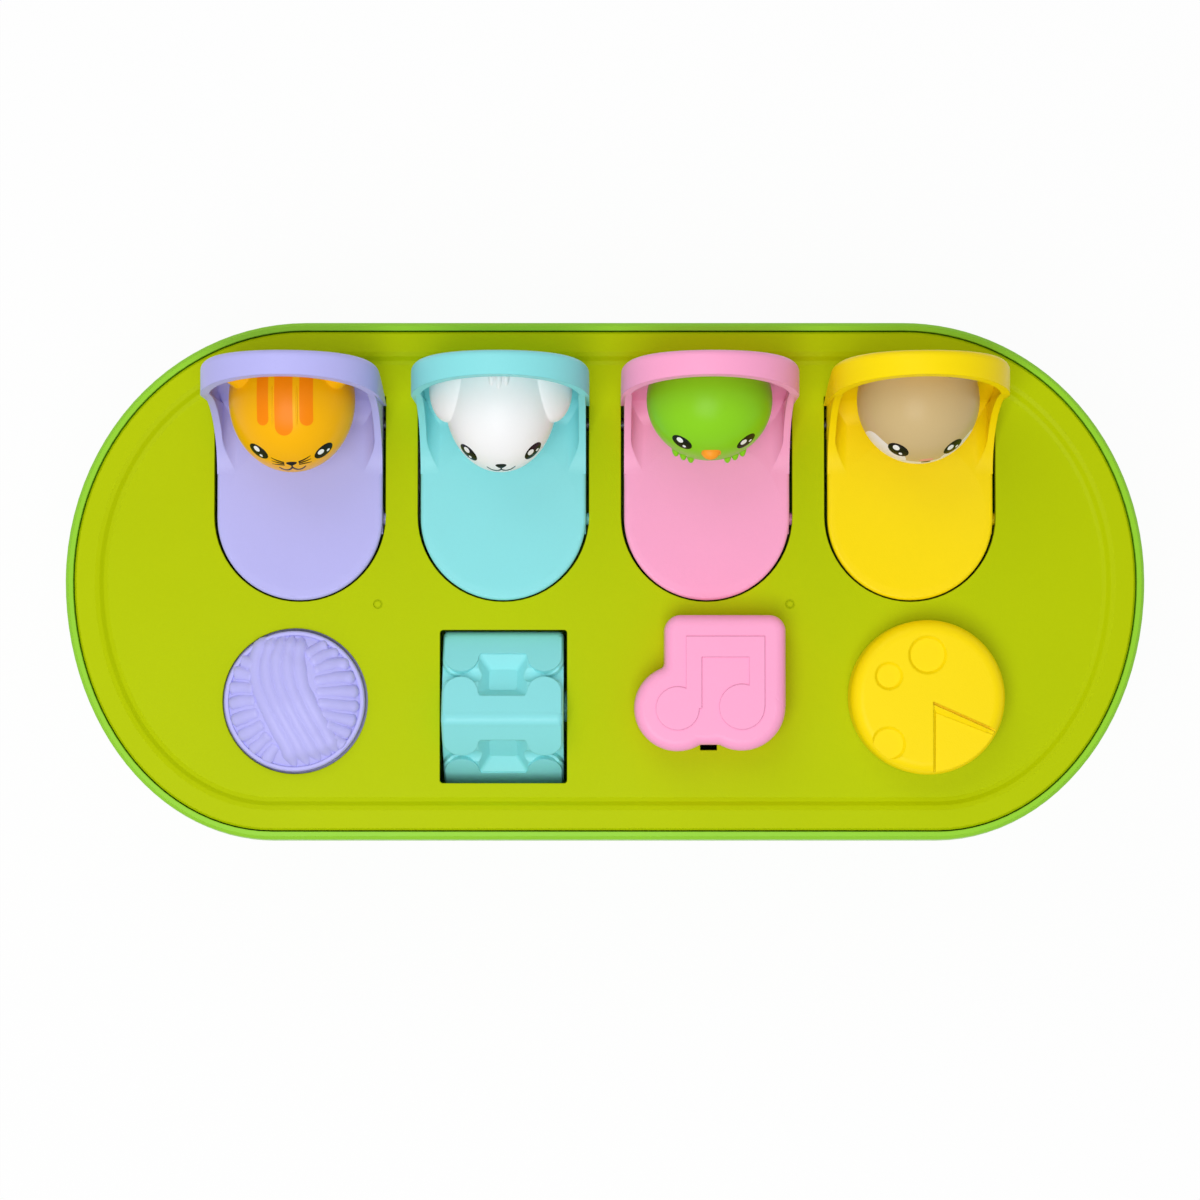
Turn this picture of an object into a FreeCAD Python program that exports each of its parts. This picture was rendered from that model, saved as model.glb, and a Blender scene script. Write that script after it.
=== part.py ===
import FreeCAD, Part
import math
import os

# Pop up animal toy, in millimetres.
# X runs to the right, Y to the rear, Z up. The origin is at the middle of the underside.
# A lime cover closes a deep green tray. Four scoop flaps carry an animal each and stand open.
# A flap shuts by turning 90 degrees forward: its floor swings down into the tray and its lid
# covers the opening. A lever in the tray catches a peg on the flap, and the push button,
# the roller, the slider or the dial in front of the flap works that lever.

os.makedirs("parts", exist_ok=True)
V = FreeCAD.Vector

# ---- driving dimensions ------------------------------------------------------------------

# body outline: straight sides joined by quarter ellipses, fuller at the front
half_length = 170.0
half_width = 81.75
rear_curve = 75.7         # length of the end curves along X, rear and front
front_curve = 65.9
rear_straight = half_length - rear_curve
front_straight = half_length - front_curve

# levels
foot_height = 3.0
tray_bottom = 2.0
tray_floor = 4.6
deck_top = 74.0
deck_wall = 2.4
border_rise = 2.0
deck_under = deck_top - deck_wall
border_top = deck_top + border_rise

# tray wall, border and skirt, as distances in from the outline
tray_bottom_inset = 15.5
tray_low_inset = 10.2
tray_high_inset = 2.6
tray_low_z = 10.0
tray_high_z = deck_top - 10.0
tray_wall = 2.7
lip_width = 3.07
seam_gap = 0.35
skirt_wall = 2.3
skirt_depth = 14.0
border_inner_inset = 9.8
recess_inset = 13.7

# clearances
seat_gap = 0.3            # air left between parts that rest on each other
running_gap = 0.05        # round a pin in its bore

# flaps
animals = ["cat", "dog", "bird", "mouse"]
flap_pitch = 64.0
hinge_y = half_width - 32.05
hinge_z = deck_top - 5.0
flap_half = 26.0          # half width of the scoop floor
scoop_reach = 55.9        # from the hinge to the front of the scoop floor
floor_arc_y = hinge_y - scoop_reach + flap_half
floor_under = deck_top - 2.5
floor_level = deck_top + 1.0
dish_depth = 0.9
flap_wall = 2.2
lid_half = flap_half + 1.1
lid_low = deck_top + 0.6
lid_arc_z = deck_top + 28.3    # centre of the rounded end of the lid
lid_rear = hinge_y + 16.3
lid_rear_low = hinge_y + 7.5   # the lid's back leans in to here at its foot
lid_wall = 2.6
finger_lift = 3.6         # how far the lid's end stands clear of the deck when it is shut
gusset_front = hinge_y - 16.2
gusset_rise = 31.0
gusset_fillet = 4.0
corner_radius = 9.0
flap_opening_gap = 1.0    # side gap round the scoop floor

# hinge
hinge_pin_r = 2.0
hinge_boss_wall = 2.8     # round the pin, on the flap's drum and the cover's ears
drum_r = hinge_pin_r + hinge_boss_wall
ear_r = hinge_pin_r + hinge_boss_wall
ear_inner = flap_half + 1.4
ear_wall = 2.4
hinge_wire = 0.9
spring_pocket_r = hinge_pin_r + 1.6
spring_pocket_half = 7.0

# catch peg on each flap
peg_reach = 30.0          # distance from the hinge axis
peg_r = 2.0
peg_end = flap_half + 4.5     # from the middle of the flap

# latch lever, beside each flap on its right
latch_y = hinge_y - 44.7
latch_z = deck_top - 29.0
latch_pin_r = 1.5
latch_bar_x = flap_half + 7.3     # from the middle of the flap
latch_bar_wall = 2.4
latch_hub_r = latch_pin_r + 3.1
latch_turn = 7.0          # degrees that release the peg
foot_x = flap_half - 3.0
foot_y = 43.75 - half_width
foot_z = deck_top - 30.3
foot_r = 3.0
tooth_x = flap_half + 1.0
post_wall = 2.0
post_a_x = flap_half + 1.6
post_b_x = latch_bar_x + latch_bar_wall + seat_gap
post_b_wall = 1.3

# heads: half width and half depth of each
head_sizes = {"cat": (19.3, 22.2), "dog": (17.2, 22.2), "bird": (19.3, 18.6), "mouse": (18.7, 19.6)}
head_y = hinge_y + 4.8
head_z = deck_top + 23.0
head_gap = 0.1            # between a head and the lid behind it

# yarn ball push button
yarn_x = -97.3
yarn_y = foot_y + 0.1
yarn_r = 22.0
yarn_gap = 0.85           # round the button in its hole
yarn_hole_r = yarn_r + yarn_gap
yarn_flange_r = yarn_hole_r + 1.35
yarn_travel = 5.0
yarn_crown = deck_top + 7.6
yarn_rim = 1.4
yarn_stem_r = 6.05
yarn_stem_low = deck_top - 44.0
guide_gap = 0.1
guide_r = yarn_stem_r + 2.45
guide_top = deck_top - 16.0
spring_wire = 1.3
spring_mean_r = guide_r + 2.1
spring_seat = deck_top - 40.0
flange_wall = 3.2
flange_low = deck_under - seat_gap - flange_wall

# bone roller
bone_length = 38.0
bone_x1 = -flap_pitch / 2 + foot_x - 4.0     # its cam runs under the dog's latch
bone_x0 = bone_x1 - bone_length
bone_y = foot_y - 1.6
bone_ridge_r = 27.0
bone_show = 11.0          # how far a ridge stands over the deck at the top of its turn
bone_z = deck_top + bone_show - bone_ridge_r
bone_count = 5
bone_phase = 9.0          # degrees that the top ridge leans forward
bone_notch_depth = 3.4
bone_waist = 4.4          # half width of a notch at its bottom
bone_valley_r = 3.2       # of the round valley between two bones
bone_valley_depth = 1.1
bone_lobe_r = 5.6
bone_corner_depth = 2.4   # of the hollow between two rounded lobes at the ends
bone_end_round = 1.8
roller_side_gap = 0.9
axle_r = 2.0
roller_ear_wall = 2.4
roller_ear_left = bone_x0 - 1.5 - roller_ear_wall
roller_ear_right = bone_x1 + 1.6
cam_x0 = roller_ear_right + roller_ear_wall + 0.3
cam_x1 = cam_x0 + 5.2

# note slider
note_travel = 10.0
note_slot_x = 32.5
note_slot_w = 5.3
note_slot_front = foot_y - 15.3
note_slot_rear = foot_y + 11.0
note_height = 13.7
note_left = 18.5
note_right = 56.0
note_top = foot_y + 26.8
lobe_left = (22.4, foot_y - 2.1, 13.3)
lobe_right = (42.3, foot_y - 1.6, 13.6)
note_relief = 0.4
note_screw_y = foot_y + 3.0
knob_z = deck_top + seat_gap
carriage_top = deck_under - seat_gap
carriage_low = carriage_top - 2.6

# cheese dial
dial_x = 100.2
dial_y = foot_y + 1.3
dial_r = 24.0
dial_height = 13.0
dial_turn = 60.0
dial_neck_r = 6.9
ramp_gap = 0.00906        # spare air over the latch's foot, besides seat_gap
cheese_holes = [(-0.4, 13.1, 6.0), (-12.4, 6.6, 4.4), (-12.6, -14.4, 5.4)]

# gate marks left by the mould on the deck
gate_marks = [(-71.4, foot_y + 30.6), (58.2, foot_y + 30.6)]

# fasteners and feet
screw_row = half_width - 19.75
screw_end = half_length - 26.0
screw_places = [(x, y) for y in (screw_row, -screw_row) for x in (-flap_pitch, 0, flap_pitch)]
screw_places += [(-screw_end, 0), (screw_end, 0)]
screw_r = 1.4
screw_head_r = 2.9
screw_head_h = 2.4
tube_r = 4.6
tube_top = deck_top - 15.0
tube_shoulder = 3.0
boss_r = 4.0
foot_row = half_width - 35.75
foot_end = half_length - 58.0
foot_places = [(x, y) for y in (foot_row, -foot_row) for x in (-foot_end, 0, foot_end)]
rubber_r = 7.4


# ---- helpers -----------------------------------------------------------------------------

def box(x0, x1, y0, y1, z0, z1):
    return Part.makeBox(x1 - x0, y1 - y0, z1 - z0, V(x0, y0, z0))


def rod(axis, r, start, length):
    """Cylinder of radius r from the point start, along the axis x, y or z."""
    way = {"x": V(1, 0, 0), "y": V(0, 1, 0), "z": V(0, 0, 1)}[axis]
    return Part.makeCylinder(r, length, V(*start), way)


def prism(face_wire, way):
    return Part.Face(face_wire).extrude(way)


def side_prism(points, x0, x1):
    """Polygon of (y, z) points, extruded from x0 to x1."""
    loop = [V(x0, y, z) for y, z in points]
    return prism(Part.makePolygon(loop + loop[:1]), V(x1 - x0, 0, 0))


def joined(first, *others):
    return first.multiFuse(list(others)).removeSplitter()


def moved(shape, x=0.0, y=0.0, z=0.0):
    copy = shape.copy()
    copy.translate(V(x, y, z))
    return copy


def turned(shape, centre, axis, degrees):
    copy = shape.copy()
    copy.rotate(V(*centre), V(*axis), degrees)
    return copy


def save(node, shape):
    shape.exportStep("parts/" + node + ".step")


def outline(inset, z):
    """The body's outline moved in by inset, as a wire at height z."""
    edges = []
    for straight, side in ((rear_straight, 1), (front_straight, -1)):
        reach_x = half_length - straight - inset
        reach_y = half_width - inset
        for hand in (-1, 1):
            middle = V(hand * straight, 0, z)
            far = V(hand * straight, side * reach_y, z)
            end = V(hand * (straight + reach_x), 0, z)
            edges.append(Part.Ellipse(far, end, middle).toShape(0, math.pi / 2))
        left = V(-straight, side * reach_y, z)
        right = V(straight, side * reach_y, z)
        edges.append(Part.makeLine(left, right))
    return Part.Wire(Part.__sortEdges__(edges))


def stacked(sections):
    """Solid through outlines given as (z, inset), with straight walls between them."""
    return Part.makeLoft([outline(inset, z) for z, inset in sections], True, True)


def scoop_outline(half, rear, z):
    """U shape of the scoop floor: straight sides and a round front end."""
    a = V(-half, rear, z)
    b = V(half, rear, z)
    c = V(half, floor_arc_y, z)
    d = V(-half, floor_arc_y, z)
    tip = V(0, floor_arc_y - half, z)
    edges = [Part.makeLine(a, b), Part.makeLine(b, c)]
    edges += [Part.Arc(c, tip, d).toShape(), Part.makeLine(d, a)]
    return Part.Wire(edges)


def lid_outline(half, low, y):
    """U shape of the lid, standing: straight sides and a round top."""
    a = V(-half, y, low)
    b = V(half, y, low)
    c = V(half, y, lid_arc_z)
    d = V(-half, y, lid_arc_z)
    tip = V(0, y, lid_arc_z + half)
    edges = [Part.makeLine(a, b), Part.makeLine(b, c)]
    edges += [Part.Arc(c, tip, d).toShape(), Part.makeLine(d, a)]
    return Part.Wire(edges)


def coil(mean_r, wire, turns, length):
    """Helical spring of square wire, standing on the XY plane along +Z."""
    rise = length - wire
    path = Part.makeHelix(rise / turns, rise, mean_r)
    h = wire / 2
    corners = [V(mean_r - h, 0, -h), V(mean_r + h, 0, -h), V(mean_r + h, 0, h), V(mean_r - h, 0, h)]
    section = Part.makePolygon(corners + corners[:1])
    spring = Part.Wire(path.Edges).makePipeShell([section], True, True)
    return moved(spring, z=h)


def along_x(shape, x, y, z):
    """Takes a shape built along +Z from the origin and lays it along +X from the given point."""
    return moved(turned(shape, (0, 0, 0), (0, 1, 0), 90), x, y, z)


def screw(x, y, seat_z, length):
    """Pan head screw driven upwards, its head under seat_z."""
    head = rod("z", screw_head_r, (x, y, seat_z - screw_head_h), screw_head_h)
    return joined(head, rod("z", screw_r, (x, y, seat_z), length))


def flap_x(i):
    return flap_pitch * (i - (len(animals) - 1) / 2)


# ---- tray --------------------------------------------------------------------------------

skirt_inset = lip_width + seam_gap
skirt_low = border_top - skirt_depth
ledge_inset = skirt_inset + skirt_wall


def make_tray():
    outside = stacked([
        (tray_bottom, tray_bottom_inset),
        (tray_bottom + 2.5, tray_low_inset + 1.4),
        (tray_low_z, tray_low_inset),
        (tray_high_z, tray_high_inset),
        (border_top - 8.5, 0.5),
        (border_top - 5.0, 0.0),
        (border_top - 1.0, 0.6),
        (border_top, 1.6),
    ])
    hollow = stacked([
        (tray_floor, tray_bottom_inset),
        (tray_floor + 2.2, tray_low_inset + tray_wall + 0.6),
        (tray_low_z + 3.0, tray_low_inset + tray_wall),
        (skirt_low, ledge_inset),
    ])
    socket = stacked([(skirt_low, lip_width), (border_top + 1.0, lip_width)])
    tray = outside.cut(hollow).cut(socket)

    # screw tubes, deep counterbores from below
    for x, y in screw_places:
        tray = tray.fuse(rod("z", tube_r, (x, y, tray_bottom + 1), tube_top - tray_bottom - 1))

    # latch posts, one each side of every lever
    for i in range(len(animals)):
        for x0, wall in ((post_a_x, post_wall), (post_b_x, post_b_wall)):
            top = latch_z + latch_pin_r + 3.0
            foot = 8.0
            side = [
                (latch_y - foot, tray_floor - 1), (latch_y + foot, tray_floor - 1),
                (latch_y + 4, latch_z), (latch_y + 3, top), (latch_y - 3, top), (latch_y - 4, latch_z),
            ]
            x = flap_x(i) + x0
            tray = tray.fuse(side_prism(side, x, x + wall))

    # guide tube of the push button, on cross ribs that seat its spring
    guide = rod("z", guide_r, (yarn_x, yarn_y, tray_floor - 1), guide_top - tray_floor + 1)
    rib = spring_mean_r + spring_wire / 2 + 0.6
    low = tray_floor - 1
    rib_x = box(yarn_x - rib, yarn_x + rib, yarn_y - 0.9, yarn_y + 0.9, low, spring_seat)
    rib_y = box(yarn_x - 0.9, yarn_x + 0.9, yarn_y - rib, yarn_y + rib, low, spring_seat)
    tray = tray.fuse(guide).fuse(rib_x).fuse(rib_y)

    tray = tray.cut(rod("z", yarn_stem_r + guide_gap, (yarn_x, yarn_y, tray_floor), guide_top))
    for x, y in screw_places:
        tray = tray.cut(rod("z", screw_head_r + 0.5, (x, y, 0), tube_top - tube_shoulder))
        tray = tray.cut(rod("z", screw_r + 0.3, (x, y, 0), tube_top + 1))
    for i in range(len(animals)):
        start = (flap_x(i) + post_a_x - 1, latch_y, latch_z)
        length = post_b_x + post_b_wall - post_a_x + 2
        tray = tray.cut(rod("x", latch_pin_r + running_gap, start, length))
    for x, y in foot_places:
        tray = tray.cut(rod("z", rubber_r + 0.1, (x, y, 0), tray_bottom + 1.0))
    return tray.removeSplitter()


# ---- cover -------------------------------------------------------------------------------

opening_half = flap_half + flap_opening_gap
opening_tip_gap = 0.5
opening_rear = lid_rear_low + 0.4
apron_r = hinge_y - (floor_arc_y - flap_half) + 0.8
bone_window_angle = math.acos((deck_under - bone_z) / bone_ridge_r)
bone_half_y = bone_ridge_r * math.sin(bone_window_angle) + roller_side_gap - 0.15


def flap_opening(x):
    """Cutter for a flap's opening, a little longer than the scoop floor at the front."""
    cutter = prism(scoop_outline(opening_half, opening_rear, deck_under - 1), V(0, 0, 8))
    return moved(cutter, x, opening_half - flap_half - opening_tip_gap)


def make_cover():
    body = stacked([
        (skirt_low, skirt_inset),
        (border_top - 0.8, skirt_inset),
        (border_top, skirt_inset + 0.7),
    ])
    under = stacked([(skirt_low - 1, ledge_inset), (deck_under, ledge_inset)])
    recess = stacked([
        (deck_top, recess_inset),
        (deck_top + 0.2 * border_rise, recess_inset - 1.3),
        (deck_top + 0.75 * border_rise, recess_inset - 2.5),
        (border_top, border_inner_inset),
        (border_top + 0.6, border_inner_inset - 3.0),
    ])
    groove = stacked([(deck_under - 1, ledge_inset), (border_top - 2.4, ledge_inset)])
    groove = groove.cut(stacked([(deck_under - 2, recess_inset - 2.0), (border_top, recess_inset - 2.0)]))
    cover = body.cut(under).cut(recess).cut(groove)

    # screw bosses
    for x, y in screw_places:
        cover = cover.fuse(rod("z", boss_r, (x, y, tube_top), deck_under + 1 - tube_top))

    # hinge ears and the curved guard under the front edge of each opening
    for i in range(len(animals)):
        for side in (-1, 1):
            near = flap_x(i) + (ear_inner if side > 0 else -ear_inner - ear_wall)
            round_end = rod("x", ear_r, (near, hinge_y, hinge_z), ear_wall)
            root = box(near, near + ear_wall, hinge_y - ear_r, hinge_y + ear_r, hinge_z, deck_under + 1)
            ear = round_end.fuse(root)
            ear = ear.common(box(near, near + ear_wall, 0, half_width, 0, deck_under + 1))
            cover = cover.fuse(ear)
        span = flap_half - 2.0
        strip = Part.makeBox(2 * span, 1.6, 0.01, V(-span, hinge_y - apron_r - 1.6, hinge_z))
        face = [f for f in strip.Faces if abs(f.normalAt(0, 0).z) > 0.9][0]
        apron = face.revolve(V(0, hinge_y, hinge_z), V(1, 0, 0), 37)
        apron = turned(apron, (0, hinge_y, hinge_z), (1, 0, 0), -3.0)
        apron = apron.common(box(-span, span, -20, 60, 0, deck_under + 0.8))
        cover = cover.fuse(moved(apron, flap_x(i)))

    # ears that carry the roller's axle
    for x in (roller_ear_left, roller_ear_right):
        round_end = rod("x", 4.5, (x, bone_y, bone_z), roller_ear_wall)
        arm = side_prism([
            (bone_y - 4.5, bone_z), (bone_y + 4.5, bone_z),
            (bone_y + 8.0, deck_under + 1), (bone_y - 8.0, deck_under + 1),
        ], x, x + roller_ear_wall)
        cover = cover.fuse(round_end).fuse(arm)

    # openings and bores
    for i in range(len(animals)):
        cover = cover.cut(flap_opening(flap_x(i)))
        start = (flap_x(i) - ear_inner - ear_wall - 1, hinge_y, hinge_z)
        cover = cover.cut(rod("x", hinge_pin_r + running_gap, start, 2 * (ear_inner + ear_wall + 1)))
    cover = cover.cut(rod("z", yarn_hole_r, (yarn_x, yarn_y, deck_under - 2), 6))
    for x, y in gate_marks:
        ring = rod("z", 1.4, (x, y, deck_top - 0.3), 1).cut(rod("z", 1.0, (x, y, deck_top - 1), 2))
        cover = cover.cut(ring)
    window = box(
        bone_x0 - roller_side_gap, bone_x1 + roller_side_gap + 0.2,
        bone_y - bone_half_y, bone_y + bone_half_y, deck_under - 2, deck_top + 2,
    )
    corners = [e for e in window.Edges if abs(e.tangentAt(0).z) > 0.9]
    cover = cover.cut(window.makeFillet(1.0, corners))
    start = (roller_ear_left - 1, bone_y, bone_z)
    reach = roller_ear_right + roller_ear_wall - start[0] + 1
    cover = cover.cut(rod("x", axle_r + running_gap, start, reach))
    half = note_slot_w / 2
    slot = box(
        note_slot_x - half, note_slot_x + half, note_slot_front, note_slot_rear, deck_under - 1, deck_top + 1,
    )
    cover = cover.cut(slot)
    cover = cover.cut(rod("z", dial_neck_r + 0.1, (dial_x, dial_y, deck_under - 1), 5))
    for x, y in screw_places:
        cover = cover.cut(rod("z", screw_r + 0.02, (x, y, tube_top - 1), 11.0))
    return cover.removeSplitter()


# ---- flaps -------------------------------------------------------------------------------

rim_plane = hinge_y + (deck_top - hinge_z) + seat_gap
lid_top = lid_arc_z + lid_half
lean = lid_rear - lid_rear_low
lid_back_r = (lean ** 2 + (lid_top - lid_low) ** 2) / (2 * lean)
lid_back_y = lid_rear - lid_back_r


def back_y(z, wall):
    """Y of the lid's back at height z, wall inside its outer face."""
    return lid_back_y + math.sqrt((lid_back_r - wall) ** 2 - (lid_top - z) ** 2)


def back_region(front, low, high, wall, half):
    """Space in front of the lid's back face, from the plane y = front."""
    x = -half
    mid = (low + high) / 2
    a = V(x, front, low)
    b = V(x, back_y(low, wall), low)
    c = V(x, back_y(high, wall), high)
    d = V(x, front, high)
    bend = Part.Arc(b, V(x, back_y(mid, wall), mid), c).toShape()
    edges = [Part.makeLine(a, b), bend, Part.makeLine(c, d), Part.makeLine(d, a)]
    return prism(Part.Wire(edges), V(2 * half, 0, 0))


def make_flap():
    # lid: a deep rimmed cap that leans in at its foot
    high = lid_top + 1
    cap = prism(lid_outline(lid_half, lid_low, rim_plane), V(0, 20, 0))
    cap = cap.common(back_region(rim_plane, lid_low, high, 0.0, lid_half + 1))
    edge_round = []
    for edge in cap.Edges:
        p = edge.valueAt((edge.FirstParameter + edge.LastParameter) / 2)
        on_back = abs(p.y - back_y(p.z, 0.0)) < 0.01
        if on_back and p.z > lid_low + 0.1 and abs(math.hypot(p.x, max(p.z - lid_arc_z, 0)) - lid_half) < 0.1:
            edge_round.append(edge)
    cap = cap.makeFillet(2.0, edge_round)
    finger_low = lid_arc_z + 4
    cap = cap.cut(side_prism([
        (rim_plane - 1, finger_low - 1), (rim_plane, finger_low), (rim_plane + finger_lift, lid_top),
        (rim_plane + finger_lift, high + 1), (rim_plane - 1, high + 1),
    ], -lid_half - 1, lid_half + 1))
    inner_low = lid_low + 2.2
    room = prism(lid_outline(lid_half - lid_wall, inner_low, rim_plane - 5), V(0, 30, 0))
    room = room.common(back_region(rim_plane - 4, inner_low, high, flap_wall, lid_half))
    lid = cap.cut(room)

    # scoop floor, softly dished, with a rounded edge
    pan = prism(scoop_outline(flap_half, hinge_y, floor_under), V(0, 0, floor_level - floor_under))
    ahead = [e for e in pan.Edges if e.BoundBox.YMin < hinge_y - 1]
    low_edges = [e for e in ahead if e.BoundBox.ZMax < floor_under + 0.01]
    pan = pan.makeFillet(1.2, low_edges)
    ahead = [e for e in pan.Edges if e.BoundBox.YMin < hinge_y - 1]
    high_edges = [e for e in ahead if e.BoundBox.ZMin > floor_level - 0.01]
    pan = pan.makeFillet(1.1, high_edges)
    dish_r = ((flap_half - flap_wall) ** 2 + dish_depth ** 2) / (2 * dish_depth)
    pan = pan.cut(Part.makeSphere(dish_r, V(0, floor_arc_y + 1, floor_level - dish_depth + dish_r)))

    # side gussets with a hollow quarter-ellipse edge
    top = floor_level + gusset_rise
    gussets = []
    for x, wall in ((-flap_half, flap_wall), (flap_half - flap_wall, flap_wall), (-flap_half, 2 * flap_half)):
        centre = V(x, gusset_front, top)
        reach = V(x, rim_plane, top)
        base = V(x, gusset_front, floor_level)
        if gusset_rise >= rim_plane - gusset_front:
            edge = Part.Ellipse(base, reach, centre).toShape(0, math.pi / 2)
        else:
            edge = Part.Ellipse(reach, base, centre).toShape(0, math.pi / 2)
        back = rim_plane + 0.5
        loop = [V(x, rim_plane, top), V(x, back, top), V(x, back, hinge_z + 2.6)]
        loop += [V(x, gusset_front, hinge_z + 2.6), base]
        edges = [edge] + [Part.makeLine(p, q) for p, q in zip(loop, loop[1:])]
        gussets.append(prism(Part.Wire(Part.__sortEdges__(edges)), V(wall, 0, 0)))
    between = gussets.pop()

    # hollow fillets where the gussets rise from the floor
    fillets = []
    for side in (-1, 1):
        face_x = side * (flap_half - flap_wall)
        foot = V(face_x - side * gusset_fillet, gusset_front, floor_level)
        rise = V(face_x, gusset_front, floor_level + gusset_fillet)
        bow = gusset_fillet * (1 - math.sqrt(0.5))
        mid = V(face_x - side * bow, gusset_front, floor_level + bow)
        edge_x = face_x + side * 0.5
        loop = [rise, V(edge_x, gusset_front, rise.z), V(edge_x, gusset_front, floor_level - 1.2)]
        loop += [V(foot.x, gusset_front, floor_level - 1.2), foot]
        edges = [Part.Arc(foot, mid, rise).toShape()]
        edges += [Part.makeLine(p, q) for p, q in zip(loop, loop[1:])]
        wedge = prism(Part.Wire(edges), V(0, rim_plane + 2 - gusset_front, 0))
        fillets.append(wedge.common(between))

    # hollow curve from the dish floor up the lid's back
    x = -(lid_half - lid_wall)
    level = floor_level + corner_radius
    wall_y = back_y(level, flap_wall)
    start = V(x, wall_y - corner_radius, floor_level)
    end = V(x, wall_y, level)
    turn = math.radians(45)
    mid = V(x, wall_y - corner_radius * (1 - math.sin(turn)), level - corner_radius * math.cos(turn))
    loop = [end, V(x, wall_y + 0.8, level), V(x, back_y(lid_low, 1.0), lid_low)]
    loop += [V(x, hinge_y + 3.5, hinge_z + 2), V(x, start.y, hinge_z + 2), start]
    edges = [Part.Arc(start, mid, end).toShape()]
    edges += [Part.makeLine(p, q) for p, q in zip(loop, loop[1:])]
    corner = prism(Part.Wire(edges), V(-2 * x, 0, 0))

    # hinge drum, catch peg and its lug
    drum = rod("x", drum_r, (-flap_half, hinge_y, hinge_z), 2 * flap_half)
    peg_y = hinge_y - peg_reach
    lug = side_prism([
        (peg_y - 5, floor_under + 0.7), (peg_y - 3, hinge_z - peg_r - 0.6),
        (peg_y + 3, hinge_z - peg_r - 0.6), (peg_y + 5, floor_under + 0.7),
    ], flap_half - flap_wall, flap_half)
    peg = rod("x", peg_r, (flap_half - flap_wall, peg_y, hinge_z), peg_end - flap_half + flap_wall)
    stop = box(
        flap_half + flap_opening_gap + 0.3, peg_end, peg_y - 1.7, peg_y + 1.7, hinge_z, deck_under - seat_gap,
    )
    flap = joined(pan, lid, *gussets, *fillets, corner, drum, lug, peg, stop)

    # pin bore, spring pocket open below
    bore = rod("x", hinge_pin_r + running_gap, (-flap_half - 1, hinge_y, hinge_z), 2 * flap_half + 2)
    pocket = rod("x", spring_pocket_r, (-spring_pocket_half, hinge_y, hinge_z), 2 * spring_pocket_half)
    slot = box(
        -spring_pocket_half, spring_pocket_half, hinge_y - spring_pocket_r, hinge_y + spring_pocket_r,
        hinge_z - drum_r - 1, hinge_z,
    )
    return flap.cut(bore).cut(pocket.fuse(slot)).removeSplitter()


def spheroid(x, y, z, rx, ry, rz):
    """Ellipsoid with its middle at (x, y, z)."""
    grow = FreeCAD.Matrix()
    grow.A11 = rx
    grow.A22 = ry
    grow.A33 = rz
    return moved(Part.makeSphere(1.0).transformGeometry(grow), x, y, z)


def ball_head(half, depth):
    """Round head, longer from front to back, as one revolved form about the Y axis."""
    middle = V(0, 0, 0)
    if depth >= half:
        arc = Part.Ellipse(V(0, depth, 0), V(half, 0, 0), middle).toShape(0, math.pi)
    else:
        arc = Part.Ellipse(V(half, 0, 0), V(0, depth, 0), middle).toShape(-math.pi / 2, math.pi / 2)
    closing = Part.makeLine(V(0, -depth, 0), V(0, depth, 0))
    side = Part.Face(Part.Wire([arc, closing]))
    ball = side.revolve(V(0, 0, 0), V(0, 1, 0), 360)
    if ball.Volume < 0:
        ball.reverse()
    return moved(ball, 0, head_y, head_z)


def make_head(animal):
    half, depth = head_sizes[animal]
    extras = []
    for side in (-1, 1):
        if animal == "cat":
            cone = Part.makeCone(6.4, 2.3, 9.0)
            cone = cone.makeFillet(2.0, [e for e in cone.Edges if e.BoundBox.ZMin > 8.9])
            cone = turned(cone, (0, 0, 0), (0, 1, 0), side * 46)
            extras.append(moved(cone, side * 12.0, head_y + 6.6, head_z + 9.6))
        if animal == "dog":
            ear = spheroid(0, 0, 0, 4.6, 11.0, 9.0)
            ear = turned(ear, (0, 0, 0), (0, 1, 0), -side * 35)
            extras.append(moved(ear, side * 15.6, head_y + 3.6, head_z + 4.5))
            extras.append(spheroid(side * 2.2, head_y + 5.0, head_z + 16.6, 0.9, 2.6, 1.2))
        if animal == "bird":
            for x in (5.6, 7.9, 10.2):
                y = head_y - depth * math.sqrt(1 - (x / half) ** 2) + 1.6
                extras.append(spheroid(side * x, y, head_z - 3.0, 1.35, 3.0, 2.2))
        if animal == "mouse":
            extras.append(rod("y", 7.0, (side * 13.6, head_y + 4.8, head_z + 13.6), 3.2))
    if animal == "dog":
        extras.append(spheroid(0, head_y + 4.4, head_z + 16.8, 1.0, 3.0, 1.3))
    if animal == "bird":
        extras.append(spheroid(0, head_y - depth + 2.2, head_z + 7.4, 2.9, 2.7, 1.7))
    return joined(ball_head(half, depth), *extras)


def fitted_head(animal, flap):
    """A head trimmed to sit on the lid's inner face and clear of its sides."""
    fitted = make_head(animal)
    for x, y in ((0, -head_gap), (-head_gap, 0), (head_gap, 0)):
        fitted = fitted.cut(moved(flap, x, y))
    return max(fitted.Solids, key=lambda piece: piece.Volume)


# ---- latch levers ------------------------------------------------------------------------

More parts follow.
